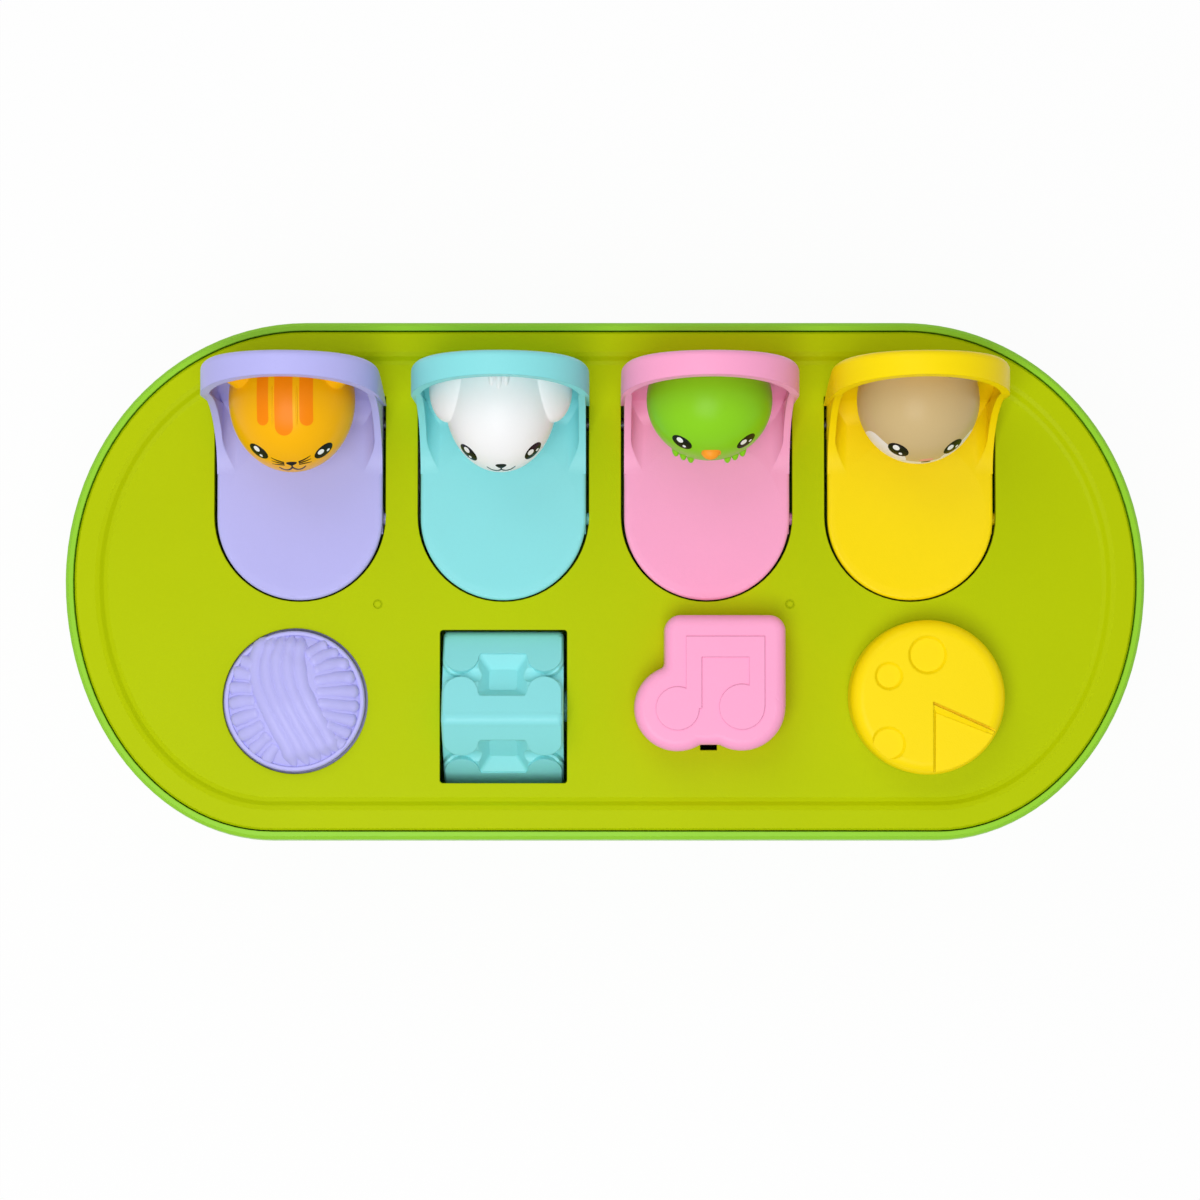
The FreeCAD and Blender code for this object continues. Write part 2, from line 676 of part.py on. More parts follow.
def make_latch():
    """Lever on the right of a flap: pressed down in front, its rear tooth lifts off the peg."""
    peg_front = hinge_y - (deck_under - seat_gap - hinge_z)
    tooth_rear = peg_front - 0.4
    tooth_front = tooth_rear - 2.6
    tooth_low = hinge_z - peg_reach - peg_r - 0.6
    tooth_high = tooth_low + 5.6
    x0 = latch_bar_x
    x1 = latch_bar_x + latch_bar_wall
    bar = side_prism([
        (foot_y, foot_z - foot_r + 0.2), (foot_y, foot_z + foot_r - 0.2), (latch_y, latch_z + 4.0),
        (tooth_rear, tooth_high), (tooth_rear - 0.5, tooth_low), (tooth_front + 1.2, tooth_low),
        (tooth_front, tooth_low + 2.2), (latch_y, latch_z - 4.0),
    ], x0, x1)
    hub = rod("x", latch_hub_r, (x0, latch_y, latch_z), latch_bar_wall)
    pad = rod("x", foot_r, (foot_x, foot_y, foot_z), x1 - foot_x)
    tooth = side_prism([
        (tooth_front, tooth_high), (tooth_rear, tooth_high), (tooth_rear - 0.5, tooth_low),
        (tooth_front + 1.2, tooth_low), (tooth_front, tooth_low + 2.2),
    ], tooth_x, x1)
    lever = joined(bar, hub, pad, tooth)
    return lever.cut(rod("x", latch_pin_r + running_gap, (x0 - 1, latch_y, latch_z), latch_bar_wall + 2))


# ---- yarn ball button --------------------------------------------------------------------

def make_yarn_button():
    edge = border_top + 0.2
    rim_in = yarn_r - yarn_rim
    sag = yarn_crown - edge
    crown_r = (rim_in ** 2 + sag ** 2) / (2 * sag)
    half_angle = math.asin(rim_in / crown_r) / 2
    mid = V(crown_r * math.sin(half_angle), 0, yarn_crown - crown_r * (1 - math.cos(half_angle)))
    top = V(0, 0, yarn_crown)
    foot = V(rim_in, 0, edge)
    under = edge - 2.6
    points = [
        foot, V(rim_in, 0, edge + 0.5), V(yarn_r - 0.4, 0, edge + 0.5), V(yarn_r, 0, edge),
        V(yarn_r, 0, flange_low + flange_wall), V(yarn_flange_r, 0, flange_low + flange_wall),
        V(yarn_flange_r, 0, flange_low),
        V(yarn_r - 2.4, 0, flange_low), V(yarn_r - 2.4, 0, under), V(yarn_stem_r, 0, under),
        V(yarn_stem_r, 0, yarn_stem_low), V(0, 0, yarn_stem_low), top,
    ]
    edges = [Part.makeLine(p, q) for p, q in zip(points, points[1:])]
    edges.append(Part.Arc(top, mid, foot).toShape())
    button = Part.Face(Part.Wire(edges)).revolve(V(0, 0, 0), V(0, 0, 1), 360)

    # finger that presses the cat's latch
    pad_x = flap_x(0) + foot_x - yarn_x
    pad_y = foot_y - yarn_y
    tab = box(yarn_r - 1, pad_x + 7.0, pad_y - 3, pad_y + 3, flange_low, flange_low + flange_wall)
    finger = box(pad_x + 1.0, pad_x + 7.0, pad_y - 3, pad_y + 3, foot_z + foot_r + seat_gap, flange_low + 1)
    return moved(joined(button, tab, finger), yarn_x, yarn_y)


# ---- bone roller -------------------------------------------------------------------------

def make_bone_roller():
    """Five bones side by side round a drum, each wrapped over one ridge."""
    length = bone_x1 - bone_x0
    step = 2 * math.pi / bone_count
    first = math.radians(90 + bone_phase)
    ridge = [(bone_ridge_r * math.cos(first + k * step), bone_ridge_r * math.sin(first + k * step))
             for k in range(bone_count)]
    drum = side_prism(ridge, 0, length)
    crease = [e for e in drum.Edges if abs(e.tangentAt(0).x) > 0.9]
    drum = drum.makeFillet(3.0, crease)
    ends = [e for e in drum.Edges if e.BoundBox.XLength < 0.01]
    drum = drum.makeFillet(bone_end_round, ends)

    # a tapered notch between the lobes of each bone, and a valley between neighbouring bones
    apothem = bone_ridge_r * math.cos(step / 2)
    low = apothem - bone_notch_depth
    middle = length / 2
    sections = []
    for z, half_x, half_y in ((low, bone_waist, 3.6), (apothem + 1.0, bone_waist + 4.2, 8.2)):
        loop = [V(middle - half_x, -half_y, z), V(middle + half_x, -half_y, z),
                V(middle + half_x, half_y, z), V(middle - half_x, half_y, z)]
        sections.append(Part.makePolygon(loop + loop[:1]))
    notch = Part.makeLoft(sections, True, True)
    slant = [e for e in notch.Edges if e.BoundBox.ZLength > 1]
    notch = notch.makeFillet(1.6, slant)
    valley = rod("x", bone_valley_r, (-1, 0, apothem + bone_valley_r - bone_valley_depth), length + 2)
    corners = []
    for end in (0, 1):
        x0, x1 = (-1, bone_lobe_r) if end == 0 else (length - bone_lobe_r, length + 1)
        centre_x = bone_lobe_r if end == 0 else length - bone_lobe_r
        corner = box(x0, x1, -bone_lobe_r, bone_lobe_r, apothem - bone_corner_depth, apothem + 2)
        for hand in (-1, 1):
            start = (centre_x, hand * (bone_lobe_r + 0.3), apothem - 5)
            corner = corner.cut(rod("z", bone_lobe_r, start, 10))
        corners.append(corner)
    for k in range(bone_count):
        angle = math.degrees(first + (k + 0.5) * step) - 90
        for corner in corners:
            drum = drum.cut(turned(corner, (0, 0, 0), (1, 0, 0), angle))
        drum = drum.cut(turned(notch, (0, 0, 0), (1, 0, 0), angle))
        drum = drum.cut(turned(valley, (0, 0, 0), (1, 0, 0), angle))

    hub = rod("x", 5.0, (-1.2, 0, 0), length + 2.5)
    roller = joined(drum, hub)
    roller = roller.cut(rod("x", axle_r + 0.02, (-3, 0, 0), length + 6))
    return moved(roller, bone_x0, bone_y, bone_z)


def make_roller_cam():
    """Five-lobed cam on the axle's right end, over the dog's latch."""
    lobe_r = bone_z - (foot_z + foot_r + seat_gap)
    step = 2 * math.pi / bone_count
    points = []
    for k in range(2 * bone_count):
        r = lobe_r if k % 2 == 0 else lobe_r - 2.6
        a = -math.pi / 2 + k * step / 2
        points.append((bone_y + r * math.cos(a), bone_z + r * math.sin(a)))
    cam = side_prism(points, cam_x0, cam_x1)
    return cam.cut(rod("x", axle_r + 0.02, (cam_x0 - 1, bone_y, bone_z), cam_x1 - cam_x0 + 2))


# ---- note slider -------------------------------------------------------------------------

def note_form(inset, z0, z1):
    """Two beamed notes: a broad block with two round heads in front."""
    block = box(note_left + inset, note_right - inset, lobe_right[1], note_top - inset, z0, z1)
    left = rod("z", lobe_left[2] - inset, (lobe_left[0], lobe_left[1], z0), z1 - z0)
    right = rod("z", lobe_right[2] - inset, (lobe_right[0], lobe_right[1], z0), z1 - z0)
    return block, left, right


def make_note_knob():
    top = deck_top + note_height
    block, left, right = note_form(0.0, knob_z, top)
    filler = box(lobe_left[0] + 2, lobe_right[0] - 2, lobe_left[1] - 11.3, lobe_left[1] + 4, knob_z, top)
    knob = joined(block, left, right, filler)
    upright = []
    for e in knob.Edges:
        p = e.valueAt(e.FirstParameter)
        vertical = e.BoundBox.ZLength > 1 and e.BoundBox.XLength < 0.01
        if vertical and p.y > note_top - 0.1:
            upright.append(e)
    knob = knob.makeFillet(5.0, upright)
    concave = []
    for e in knob.Edges:
        p = e.valueAt(e.FirstParameter)
        vertical = e.BoundBox.ZLength > 1 and e.BoundBox.XLength < 0.01
        at_front = p.y < lobe_left[1] - 6
        at_side = p.x < note_left + 0.1 and 8 < p.y - lobe_left[1] < 16
        if vertical and (at_front or at_side):
            concave.append(e)
    knob = knob.makeFillet(2.0, concave)
    rim = [e for e in knob.Edges if e.BoundBox.ZMin > top - 0.01]
    knob = knob.makeFillet(3.2, rim)

    # raised smaller note on top
    face = top + note_relief
    raised = note_form(6.6, top - 1, face)
    beam = box(note_left + 6.6, note_right - 6.6, note_top - 13.0, note_top - 6.6, top - 1, face)
    stem_a = box(note_left + 6.6, note_left + 11.4, lobe_left[1], note_top - 10, top - 1, face)
    stem_b = box(note_right - 11.4, note_right - 6.6, lobe_right[1], note_top - 10, top - 1, face)
    knob = joined(knob, beam, stem_a, stem_b, raised[1], raised[2])

    # hollow from below, with a neck that runs in the slot
    inside = note_form(2.6, knob_z - 1, top - 2.6)
    knob = knob.cut(inside[0].multiFuse([inside[1], inside[2]]))
    half = note_slot_w / 2 - 0.15
    front = note_slot_front + note_travel + 0.3
    neck = box(note_slot_x - half, note_slot_x + half, front, note_slot_rear - 0.3, carriage_top, top - 1)
    knob = joined(knob, neck)
    return knob.cut(rod("z", screw_r + 0.02, (note_slot_x, note_screw_y, carriage_top - 1), 11))


def make_note_carriage():
    """Plate under the slot with a ramp that pushes the bird's latch down."""
    plate = box(
        note_slot_x - 8.5, note_slot_x + 8.5, note_screw_y - 15, note_screw_y + 15,
        carriage_low, carriage_top,
    )
    pad_x = flap_x(2) + foot_x
    slope = latch_drop / note_travel
    lean_len = math.sqrt(1 + slope ** 2)
    level = foot_z + (foot_r + seat_gap + 0.15) * lean_len
    front = foot_y - 3.5
    rear = foot_y + note_travel + 1.5
    fin = side_prism([
        (front, level - slope * (front - foot_y)), (rear, level - slope * (rear - foot_y)),
        (rear, carriage_top), (front, carriage_top),
    ], pad_x + 1.5, pad_x + 7.5)
    arm = box(note_slot_x + 6, pad_x + 7.5, front, rear, carriage_low, carriage_top)
    carriage = joined(plate, arm, fin)
    return carriage.cut(rod("z", screw_r + 0.25, (note_slot_x, note_screw_y, carriage_low - 1), 6))


# ---- cheese dial -------------------------------------------------------------------------

latch_drop = (latch_y - foot_y) * math.sin(math.radians(latch_turn))


def make_cheese_dial():
    top = knob_z + dial_height
    wheel = rod("z", dial_r, (0, 0, knob_z), dial_height)
    wheel = wheel.makeFillet(4.0, [e for e in wheel.Edges if e.BoundBox.ZMin > top - 0.01])
    for x, y, r in cheese_holes:
        wheel = wheel.cut(Part.makeCone(r - 0.8, r + 0.7, 1.8, V(x, y, top - 1.0)))
    slice_depth = 1.4
    wedge = Part.makeCylinder(dial_r + 2, 5, V(0, 0, top - slice_depth), V(0, 0, 1), 66)
    wedge = turned(wedge, (0, 0, 0), (0, 0, 1), -90)
    wheel = wheel.cut(moved(wedge, 1.3, -1.3))
    wheel = wheel.cut(rod("z", dial_r - 2.6, (0, 0, knob_z - 1), dial_height - 3.2))
    neck = rod("z", dial_neck_r, (0, 0, carriage_top), top - 2 - carriage_top)
    wheel = joined(wheel, neck)
    wheel = wheel.cut(rod("z", screw_r + 0.02, (0, 0, carriage_top - 1), 10))
    return moved(wheel, dial_x, dial_y)


def make_dial_cam():
    """Disc under the deck with a curved ramp that pushes the mouse's latch down."""
    outer = 23.5
    wall = 3.0
    pad_angle = math.degrees(math.asin((foot_y - dial_y) / (outer - wall / 2)))
    mid = pad_angle - dial_turn / 2
    chord = 2 * outer * math.sin(math.radians(dial_turn / 2))
    lean_angle = math.degrees(math.atan(latch_drop / chord))
    disc = rod("z", outer, (0, 0, carriage_low), carriage_top - carriage_low)
    sweep = dial_turn + 16
    low = foot_z - latch_drop - foot_r - 4
    ring = Part.makeCylinder(outer, carriage_low + 1 - low, V(0, 0, low), V(0, 0, 1), sweep)
    ring = ring.cut(rod("z", outer - wall, (0, 0, low - 1), 80))
    ring = turned(ring, (0, 0, 0), (0, 0, 1), mid - sweep / 2)
    inner_rise = latch_drop / 2 * wall / (2 * outer)
    foot_touch = foot_r / math.cos(math.radians(lean_angle))
    level = foot_z + seat_gap + ramp_gap + foot_touch + inner_rise - latch_drop / 2
    below = box(-60, 60, -60, 60, -60, 0)
    radial = (math.cos(math.radians(mid)), math.sin(math.radians(mid)), 0)
    below = moved(turned(below, (0, 0, 0), radial, lean_angle), z=level)
    cam = joined(disc, ring.cut(below))
    cam = cam.cut(rod("z", screw_r + 0.25, (0, 0, carriage_low - 1), 6))
    return moved(cam, dial_x, dial_y)


# ---- build -------------------------------------------------------------------------------

save("bottom_tray", make_tray())
save("top_cover", make_cover())

flap = make_flap()
latch = make_latch()
for i, animal in enumerate(animals):
    x = flap_x(i)
    save(animal + "_flap", moved(flap, x))
    save(animal + "_head", moved(fitted_head(animal, flap), x))
    pin_half = ear_inner + ear_wall
    save(animal + "_hinge_pin", rod("x", hinge_pin_r, (x - pin_half, hinge_y, hinge_z), 2 * pin_half))
    hinge_coil = coil(hinge_pin_r + hinge_wire, hinge_wire, 4, 2 * spring_pocket_half - 0.6)
    save(animal + "_hinge_spring", along_x(hinge_coil, x - spring_pocket_half + 0.3, hinge_y, hinge_z))
    save(animal + "_latch", moved(latch, x))
    pin_length = post_b_x + post_b_wall - post_a_x
    save(animal + "_latch_pin", rod("x", latch_pin_r, (x + post_a_x, latch_y, latch_z), pin_length))
    latch_coil = coil(latch_pin_r + 1.1, 0.9, 2, latch_bar_x - post_a_x - post_wall - 0.6)
    save(animal + "_latch_spring", along_x(latch_coil, x + post_a_x + post_wall + 0.3, latch_y, latch_z))

save("yarn_button", make_yarn_button())
button_coil = coil(spring_mean_r, spring_wire, 4, flange_low - spring_seat - 0.2)
save("button_spring", moved(button_coil, yarn_x, yarn_y, spring_seat + 0.1))
save("bone_roller", make_bone_roller())
axle_length = cam_x1 - roller_ear_left
save("roller_axle", rod("x", axle_r, (roller_ear_left, bone_y, bone_z), axle_length))
save("roller_cam", make_roller_cam())
save("note_knob", make_note_knob())
save("note_carriage", make_note_carriage())
save("note_screw", screw(note_slot_x, note_screw_y, carriage_low, 10))
save("cheese_dial", make_cheese_dial())
save("dial_cam", make_dial_cam())
save("dial_screw", screw(dial_x, dial_y, carriage_low, 10))
shoulder = tube_top - tube_shoulder
save("cover_screws", Part.makeCompound([screw(x, y, shoulder, 12) for x, y in screw_places]))
feet = [rod("z", rubber_r, (x, y, 0), foot_height) for x, y in foot_places]
feet = [f.makeChamfer(0.6, [e for e in f.Edges if e.BoundBox.ZMax < 0.01]) for f in feet]
save("rubber_feet", Part.makeCompound(feet))
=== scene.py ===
# %% [markdown]
# # Pop up animal toy
# A flat toddler toy: a lime cover on a grass green tray, four scoop flaps that spring open with
# an animal head in each, and a yarn ball, a bone roller, a note slider and a cheese dial in front.
# The CAD model is loaded as a fixed frame. Its solids keep their shape and place, and this lesson
# gives them finishes and adds what moulds and printers add: wound strands, plates on the bones, the
# sloping sides of the cheese's cut, tabby ribs and faces.

# %% Load the frame
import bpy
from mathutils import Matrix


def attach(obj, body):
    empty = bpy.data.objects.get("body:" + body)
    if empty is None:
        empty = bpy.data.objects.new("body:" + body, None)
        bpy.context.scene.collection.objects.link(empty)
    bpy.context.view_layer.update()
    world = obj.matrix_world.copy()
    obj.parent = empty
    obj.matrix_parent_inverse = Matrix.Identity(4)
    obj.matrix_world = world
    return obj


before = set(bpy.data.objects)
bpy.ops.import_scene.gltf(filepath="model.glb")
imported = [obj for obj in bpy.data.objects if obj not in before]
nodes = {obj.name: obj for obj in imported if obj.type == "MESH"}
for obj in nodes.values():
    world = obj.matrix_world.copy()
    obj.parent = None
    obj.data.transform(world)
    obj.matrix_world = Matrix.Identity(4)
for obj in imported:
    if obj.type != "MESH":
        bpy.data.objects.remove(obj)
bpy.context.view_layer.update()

# %% Tools and units
import math

import bmesh
import bpy
import numpy as np
from mathutils import Matrix, Vector
from mathutils.bvhtree import BVHTree

MM = 0.001
ANIMALS = ["cat", "dog", "bird", "mouse"]
FLAP_X = {animal: (i - 1.5) * 64.0 for i, animal in enumerate(ANIMALS)}


def linear(red, green, blue):
    """A colour as it looks on screen, 0 to 255, as the linear values that shaders use."""
    steps = [value / 255 for value in (red, green, blue)]
    return [s / 12.92 if s <= 0.04045 else ((s + 0.055) / 1.055) ** 2.4 for s in steps] + [1.0]


print("flaps at x =", FLAP_X)

# %% [markdown]
# ## Camera
# The toy lies on a table and is seen from straight above, a touch from the front, by a long lens.
# A long lens far away keeps the four flaps alike: the nearer the camera, the more the tall lids
# would lean out of the middle.

# %% Camera
LENS, SENSOR = 81.1, 36.0
TIP = math.radians(2.0)
AIM, DISTANCE = Vector((-1.57, -6.13, 74.0)) * MM, 0.85

camera_data = bpy.data.cameras.new("camera")
camera_data.lens = LENS
camera_data.sensor_width = SENSOR
camera_data.clip_end = 10.0
camera = bpy.data.objects.new("camera", camera_data)
bpy.context.scene.collection.objects.link(camera)
camera.location = AIM + Vector((0, -math.sin(TIP), math.cos(TIP))) * DISTANCE
camera.rotation_euler = (TIP, 0, 0)
bpy.context.scene.camera = camera
print("camera at", [round(v, 3) for v in camera.location])

# %% [markdown]
# ## Light, floor and background
# Bright plastic shows its shape by soft shading, so the main light is a soft box almost overhead
# and a little in front, with a weaker one from the rear left and a pale room. Light Path tells the
# camera, mirror and glass rays to see pure white, while the room lights the toy at a plain level.

# %% Lamps
TOY_MIDDLE = Vector((0, 0, 0.07))


def soft_box(name, place, size, watts):
    """A square area lamp that looks at the middle of the toy."""
    lamp = bpy.data.lights.new(name, "AREA")
    lamp.size = size
    lamp.energy = watts
    holder = bpy.data.objects.new(name, lamp)
    bpy.context.scene.collection.objects.link(holder)
    holder.location = place
    holder.rotation_euler = (TOY_MIDDLE - Vector(place)).to_track_quat("-Z", "Y").to_euler()


soft_box("rear_soft_box", (-0.35, 0.75, 1.05), 0.8, 2.6)
soft_box("front_soft_box", (-0.12, -0.36, 1.1), 0.65, 6.5)

# %% Room
def white_for_eyes(tree):
    """1 for rays that come from the camera, a mirror or glass, else 0."""
    path = tree.nodes.new("ShaderNodeLightPath")
    first = tree.nodes.new("ShaderNodeMath")
    second = tree.nodes.new("ShaderNodeMath")
    first.operation = second.operation = "MAXIMUM"
    tree.links.new(path.outputs["Is Camera Ray"], first.inputs[0])
    tree.links.new(path.outputs["Is Glossy Ray"], first.inputs[1])
    tree.links.new(first.outputs[0], second.inputs[0])
    tree.links.new(path.outputs["Is Transmission Ray"], second.inputs[1])
    return second.outputs[0]


ROOM_LIGHT, ROOM_SEEN = 0.42, 1.0

room = bpy.data.worlds.new("room")
room.use_nodes = True
bpy.context.scene.world = room
tree = room.node_tree
backdrop = tree.nodes["Background"]
backdrop.inputs["Color"].default_value = (1, 1, 1, 1)
level = tree.nodes.new("ShaderNodeMapRange")
level.inputs["To Min"].default_value = ROOM_LIGHT
level.inputs["To Max"].default_value = ROOM_SEEN
tree.links.new(white_for_eyes(tree), level.inputs["Value"])
tree.links.new(level.outputs["Result"], backdrop.inputs["Strength"])

bpy.context.scene.view_settings.view_transform = "Standard"
print("room light", ROOM_LIGHT, "and seen as", ROOM_SEEN)

# %% Floor
FLOOR_HALF, FLOOR_GREY, SEEN_WHITE = 3.0, 0.9, 0.95

sheet = bmesh.new()
bmesh.ops.create_grid(sheet, x_segments=1, y_segments=1, size=FLOOR_HALF)
floor_mesh = bpy.data.meshes.new("floor")
sheet.to_mesh(floor_mesh)
sheet.free()
floor = bpy.data.objects.new("floor", floor_mesh)
bpy.context.scene.collection.objects.link(floor)

paper = bpy.data.materials.new("white_paper")
paper.use_nodes = True
tree = paper.node_tree
tree.nodes.clear()
matt = tree.nodes.new("ShaderNodeBsdfDiffuse")
matt.inputs["Color"].default_value = (FLOOR_GREY, FLOOR_GREY, FLOOR_GREY, 1)
glow = tree.nodes.new("ShaderNodeEmission")
share = tree.nodes.new("ShaderNodeMath")
share.operation = "MULTIPLY"
share.inputs[1].default_value = SEEN_WHITE
blend = tree.nodes.new("ShaderNodeMixShader")
out = tree.nodes.new("ShaderNodeOutputMaterial")
tree.links.new(white_for_eyes(tree), share.inputs[0])
tree.links.new(share.outputs[0], blend.inputs["Fac"])
tree.links.new(matt.outputs[0], blend.inputs[1])
tree.links.new(glow.outputs[0], blend.inputs[2])
tree.links.new(blend.outputs[0], out.inputs["Surface"])
floor.data.materials.append(paper)
print("floor reaches", FLOOR_HALF, "m from the toy")

# %% [markdown]
# ## The moulded skin
# Injection moulded plastic isn't one flat colour. Pigment streams leave it a little uneven, the
# mould gives it a fine spark grain, and long walls cool with a faint waviness. All coloured parts
# share these effects, so they are one shader group with named inputs, and each plastic places the
# group with its own values. The group puts out only what varies: a colour, a roughness, a normal.

# %% Group helpers
def new_group(name, takes, gives):
    """An empty shader group. takes and gives map socket names to (kind, default) or kind."""
    group = bpy.data.node_groups.new(name, "ShaderNodeTree")
    for label, (kind, value) in takes.items():
        socket = group.interface.new_socket(label, in_out="INPUT", socket_type="NodeSocket" + kind)
        if value is not None:
            socket.default_value = value
    for label, kind in gives.items():
        group.interface.new_socket(label, in_out="OUTPUT", socket_type="NodeSocket" + kind)
    return group, group.nodes.new("NodeGroupInput"), group.nodes.new("NodeGroupOutput")


def add(tree, kind, **settings):
    """A node with its settings and, by socket name or number, its input values."""
    node = tree.nodes.new(kind)
    for label, value in settings.pop("values", {}).items():
        node.inputs[label].default_value = value
    for label, value in settings.items():
        setattr(node, label, value)
    return node


print("helpers ready: new_group, add")

# %% Moulded skin group
skin, takes, gives = new_group(
    "moulded_skin",
    {
        "Place": ("Vector", None),
        "Base normal": ("Vector", None),
        "Pigment": ("Color", (0.5, 0.5, 0.5, 1)),
        "Unevenness": ("Float", 0.05),
        "Gloss": ("Float", 0.35),
        "Gloss spread": ("Float", 0.08),
        "Grain height": ("Float", 0.03),
        "Wave height": ("Float", 0.15),
    },
    {"Colour": "Color", "Roughness": "Float", "Normal": "Vector"},
)
link = skin.links.new
cloud = add(skin, "ShaderNodeTexNoise", values={"Scale": 22.0, "Detail": 3.0, "Roughness": 0.55})
specks = add(skin, "ShaderNodeTexNoise", values={"Scale": 900.0, "Detail": 2.0})
grain = add(skin, "ShaderNodeTexNoise", values={"Scale": 2600.0, "Detail": 1.0})
waves = add(skin, "ShaderNodeTexNoise", values={"Scale": 55.0, "Detail": 1.0})
for texture in (cloud, specks, grain, waves):
    link(takes.outputs["Place"], texture.inputs["Vector"])

# colour: the pigment, a little lighter and darker in clouds, with a fine fleck over it
swing = add(skin, "ShaderNodeMath", operation="SUBTRACT", values={1: 0.5})
fleck = add(skin, "ShaderNodeMath", operation="MULTIPLY_ADD", values={1: 0.35, 2: -0.175})
both = add(skin, "ShaderNodeMath", operation="ADD")
scaled = add(skin, "ShaderNodeMath", operation="MULTIPLY_ADD", values={2: 1.0})
link(cloud.outputs["Fac"], swing.inputs[0])
link(specks.outputs["Fac"], fleck.inputs[0])
link(swing.outputs[0], both.inputs[0])
link(fleck.outputs[0], both.inputs[1])
link(both.outputs[0], scaled.inputs[0])
link(takes.outputs["Unevenness"], scaled.inputs[1])
tone = add(skin, "ShaderNodeVectorMath", operation="SCALE")
link(takes.outputs["Pigment"], tone.inputs[0])
link(scaled.outputs[0], tone.inputs["Scale"])
link(tone.outputs[0], gives.inputs["Colour"])

# roughness: the gloss value, unevenly buffed
buff = add(skin, "ShaderNodeMath", operation="SUBTRACT", values={1: 0.5})
rough = add(skin, "ShaderNodeMath", operation="MULTIPLY_ADD")
link(waves.outputs["Fac"], buff.inputs[0])
link(buff.outputs[0], rough.inputs[0])
link(takes.outputs["Gloss spread"], rough.inputs[1])
link(takes.outputs["Gloss"], rough.inputs[2])
link(rough.outputs[0], gives.inputs["Roughness"])

# bump: spark grain on a faint waviness
soft = add(skin, "ShaderNodeBump", values={"Distance": 0.0006})
fine = add(skin, "ShaderNodeBump", values={"Distance": 0.00012})
link(waves.outputs["Fac"], soft.inputs["Height"])
link(takes.outputs["Wave height"], soft.inputs["Strength"])
link(takes.outputs["Base normal"], soft.inputs["Normal"])
link(grain.outputs["Fac"], fine.inputs["Height"])
link(takes.outputs["Grain height"], fine.inputs["Strength"])
link(soft.outputs[0], fine.inputs["Normal"])
link(fine.outputs[0], gives.inputs["Normal"])
print("group", skin.name, "has", len(skin.nodes), "nodes")

# %% [markdown]
# ## Plastics
# Every mould has a small round on its edges, which catches the light as a thin bright line. The
# Bevel node rounds the shading of crisp edges by a fixed radius, so the solids stay exact. Each
# plastic is a Principled shader whose plain numbers sit on its own sockets, with the moulded skin
# feeding its colour, roughness and normal.

# %% Plastic maker
def plastic(name, colour, gloss=0.36, spread=0.08, uneven=0.06, grain=0.25, wave=0.12, edge=0.45,
            shine=0.25):
    """A moulded plastic with edges rounded by edge mm. The other numbers are sockets' values."""
    material = bpy.data.materials.new(name)
    material.use_nodes = True
    tree = material.node_tree
    shader = tree.nodes["Principled BSDF"]
    shader.inputs["IOR"].default_value = 1.5
    shader.inputs["Specular IOR Level"].default_value = shine
    place = add(tree, "ShaderNodeTexCoord", name="place")
    rounded = add(tree, "ShaderNodeBevel", samples=4, values={"Radius": edge * MM})
    surface = add(tree, "ShaderNodeGroup", node_tree=skin, name="skin")
    surface.inputs["Pigment"].default_value = colour
    surface.inputs["Unevenness"].default_value = uneven
    surface.inputs["Gloss"].default_value = gloss
    surface.inputs["Gloss spread"].default_value = spread
    surface.inputs["Grain height"].default_value = grain
    surface.inputs["Wave height"].default_value = wave
    tree.links.new(place.outputs["Object"], surface.inputs["Place"])
    tree.links.new(rounded.outputs[0], surface.inputs["Base normal"])
    tree.links.new(surface.outputs["Colour"], shader.inputs["Base Color"])
    tree.links.new(surface.outputs["Roughness"], shader.inputs["Roughness"])
    tree.links.new(surface.outputs["Normal"], shader.inputs["Normal"])
    return material


def dress(node, material):
    """Gives a CAD node its finish."""
    for held in nodes[node].material_slots:
        held.material = material


print("helpers ready: plastic, dress")

# %% Coloured plastics
lime = plastic("lime_plastic", linear(185, 203, 0), gloss=0.42, spread=0.1, grain=0.35, shine=0.05)
grass = plastic("grass_plastic", linear(147, 211, 38), gloss=0.38)
lavender = plastic("lavender_plastic", linear(187, 185, 246))
aqua = plastic("aqua_plastic", linear(140, 227, 231))
pink = plastic("pink_plastic", linear(255, 168, 209))
yellow = plastic("yellow_plastic", linear(255, 225, 6), shine=0.12)
natural = plastic("natural_plastic", linear(226, 224, 216), gloss=0.45)
print("plastics:", [m.name for m in bpy.data.materials])

# %% Plastic parts
finishes = {
    "top_cover": lime,
    "bottom_tray": grass,
    "yarn_button": lavender,
    "bone_roller": aqua,
    "note_knob": pink,
    "cheese_dial": yellow,
    "note_carriage": natural,
    "dial_cam": natural,
    "roller_cam": natural,
}
for animal, colour in zip(ANIMALS, (lavender, aqua, pink, yellow)):
    finishes[animal + "_flap"] = colour
    finishes[animal + "_latch"] = natural
for part, material in finishes.items():
    dress(part, material)
print("dressed", len(finishes), "plastic parts")

# %% [markdown]
# ## Steel and rubber
# Screws are plated steel, and pins and springs are darker oiled steel. Both are fully metallic,
# drawn with fine lines that make the roughness streaky. The feet are black rubber, matt and
# slightly chalky.

# %% Steel and rubber
def drawn_steel(name, colour, scale):
    """Metal with drawing lines. scale stretches the skin's grain along the lines."""
    material = plastic(name, colour, gloss=0.4, spread=0.25, uneven=0.15, grain=0.1, wave=0.05,
                       edge=0.1)
    tree = material.node_tree
    shader = tree.nodes["Principled BSDF"]
    shader.inputs["Metallic"].default_value = 1.0
    stretch = add(tree, "ShaderNodeMapping", values={"Scale": scale})
    tree.links.new(tree.nodes["place"].outputs["Object"], stretch.inputs["Vector"])
    tree.links.new(stretch.outputs["Vector"], tree.nodes["skin"].inputs["Place"])
    return material


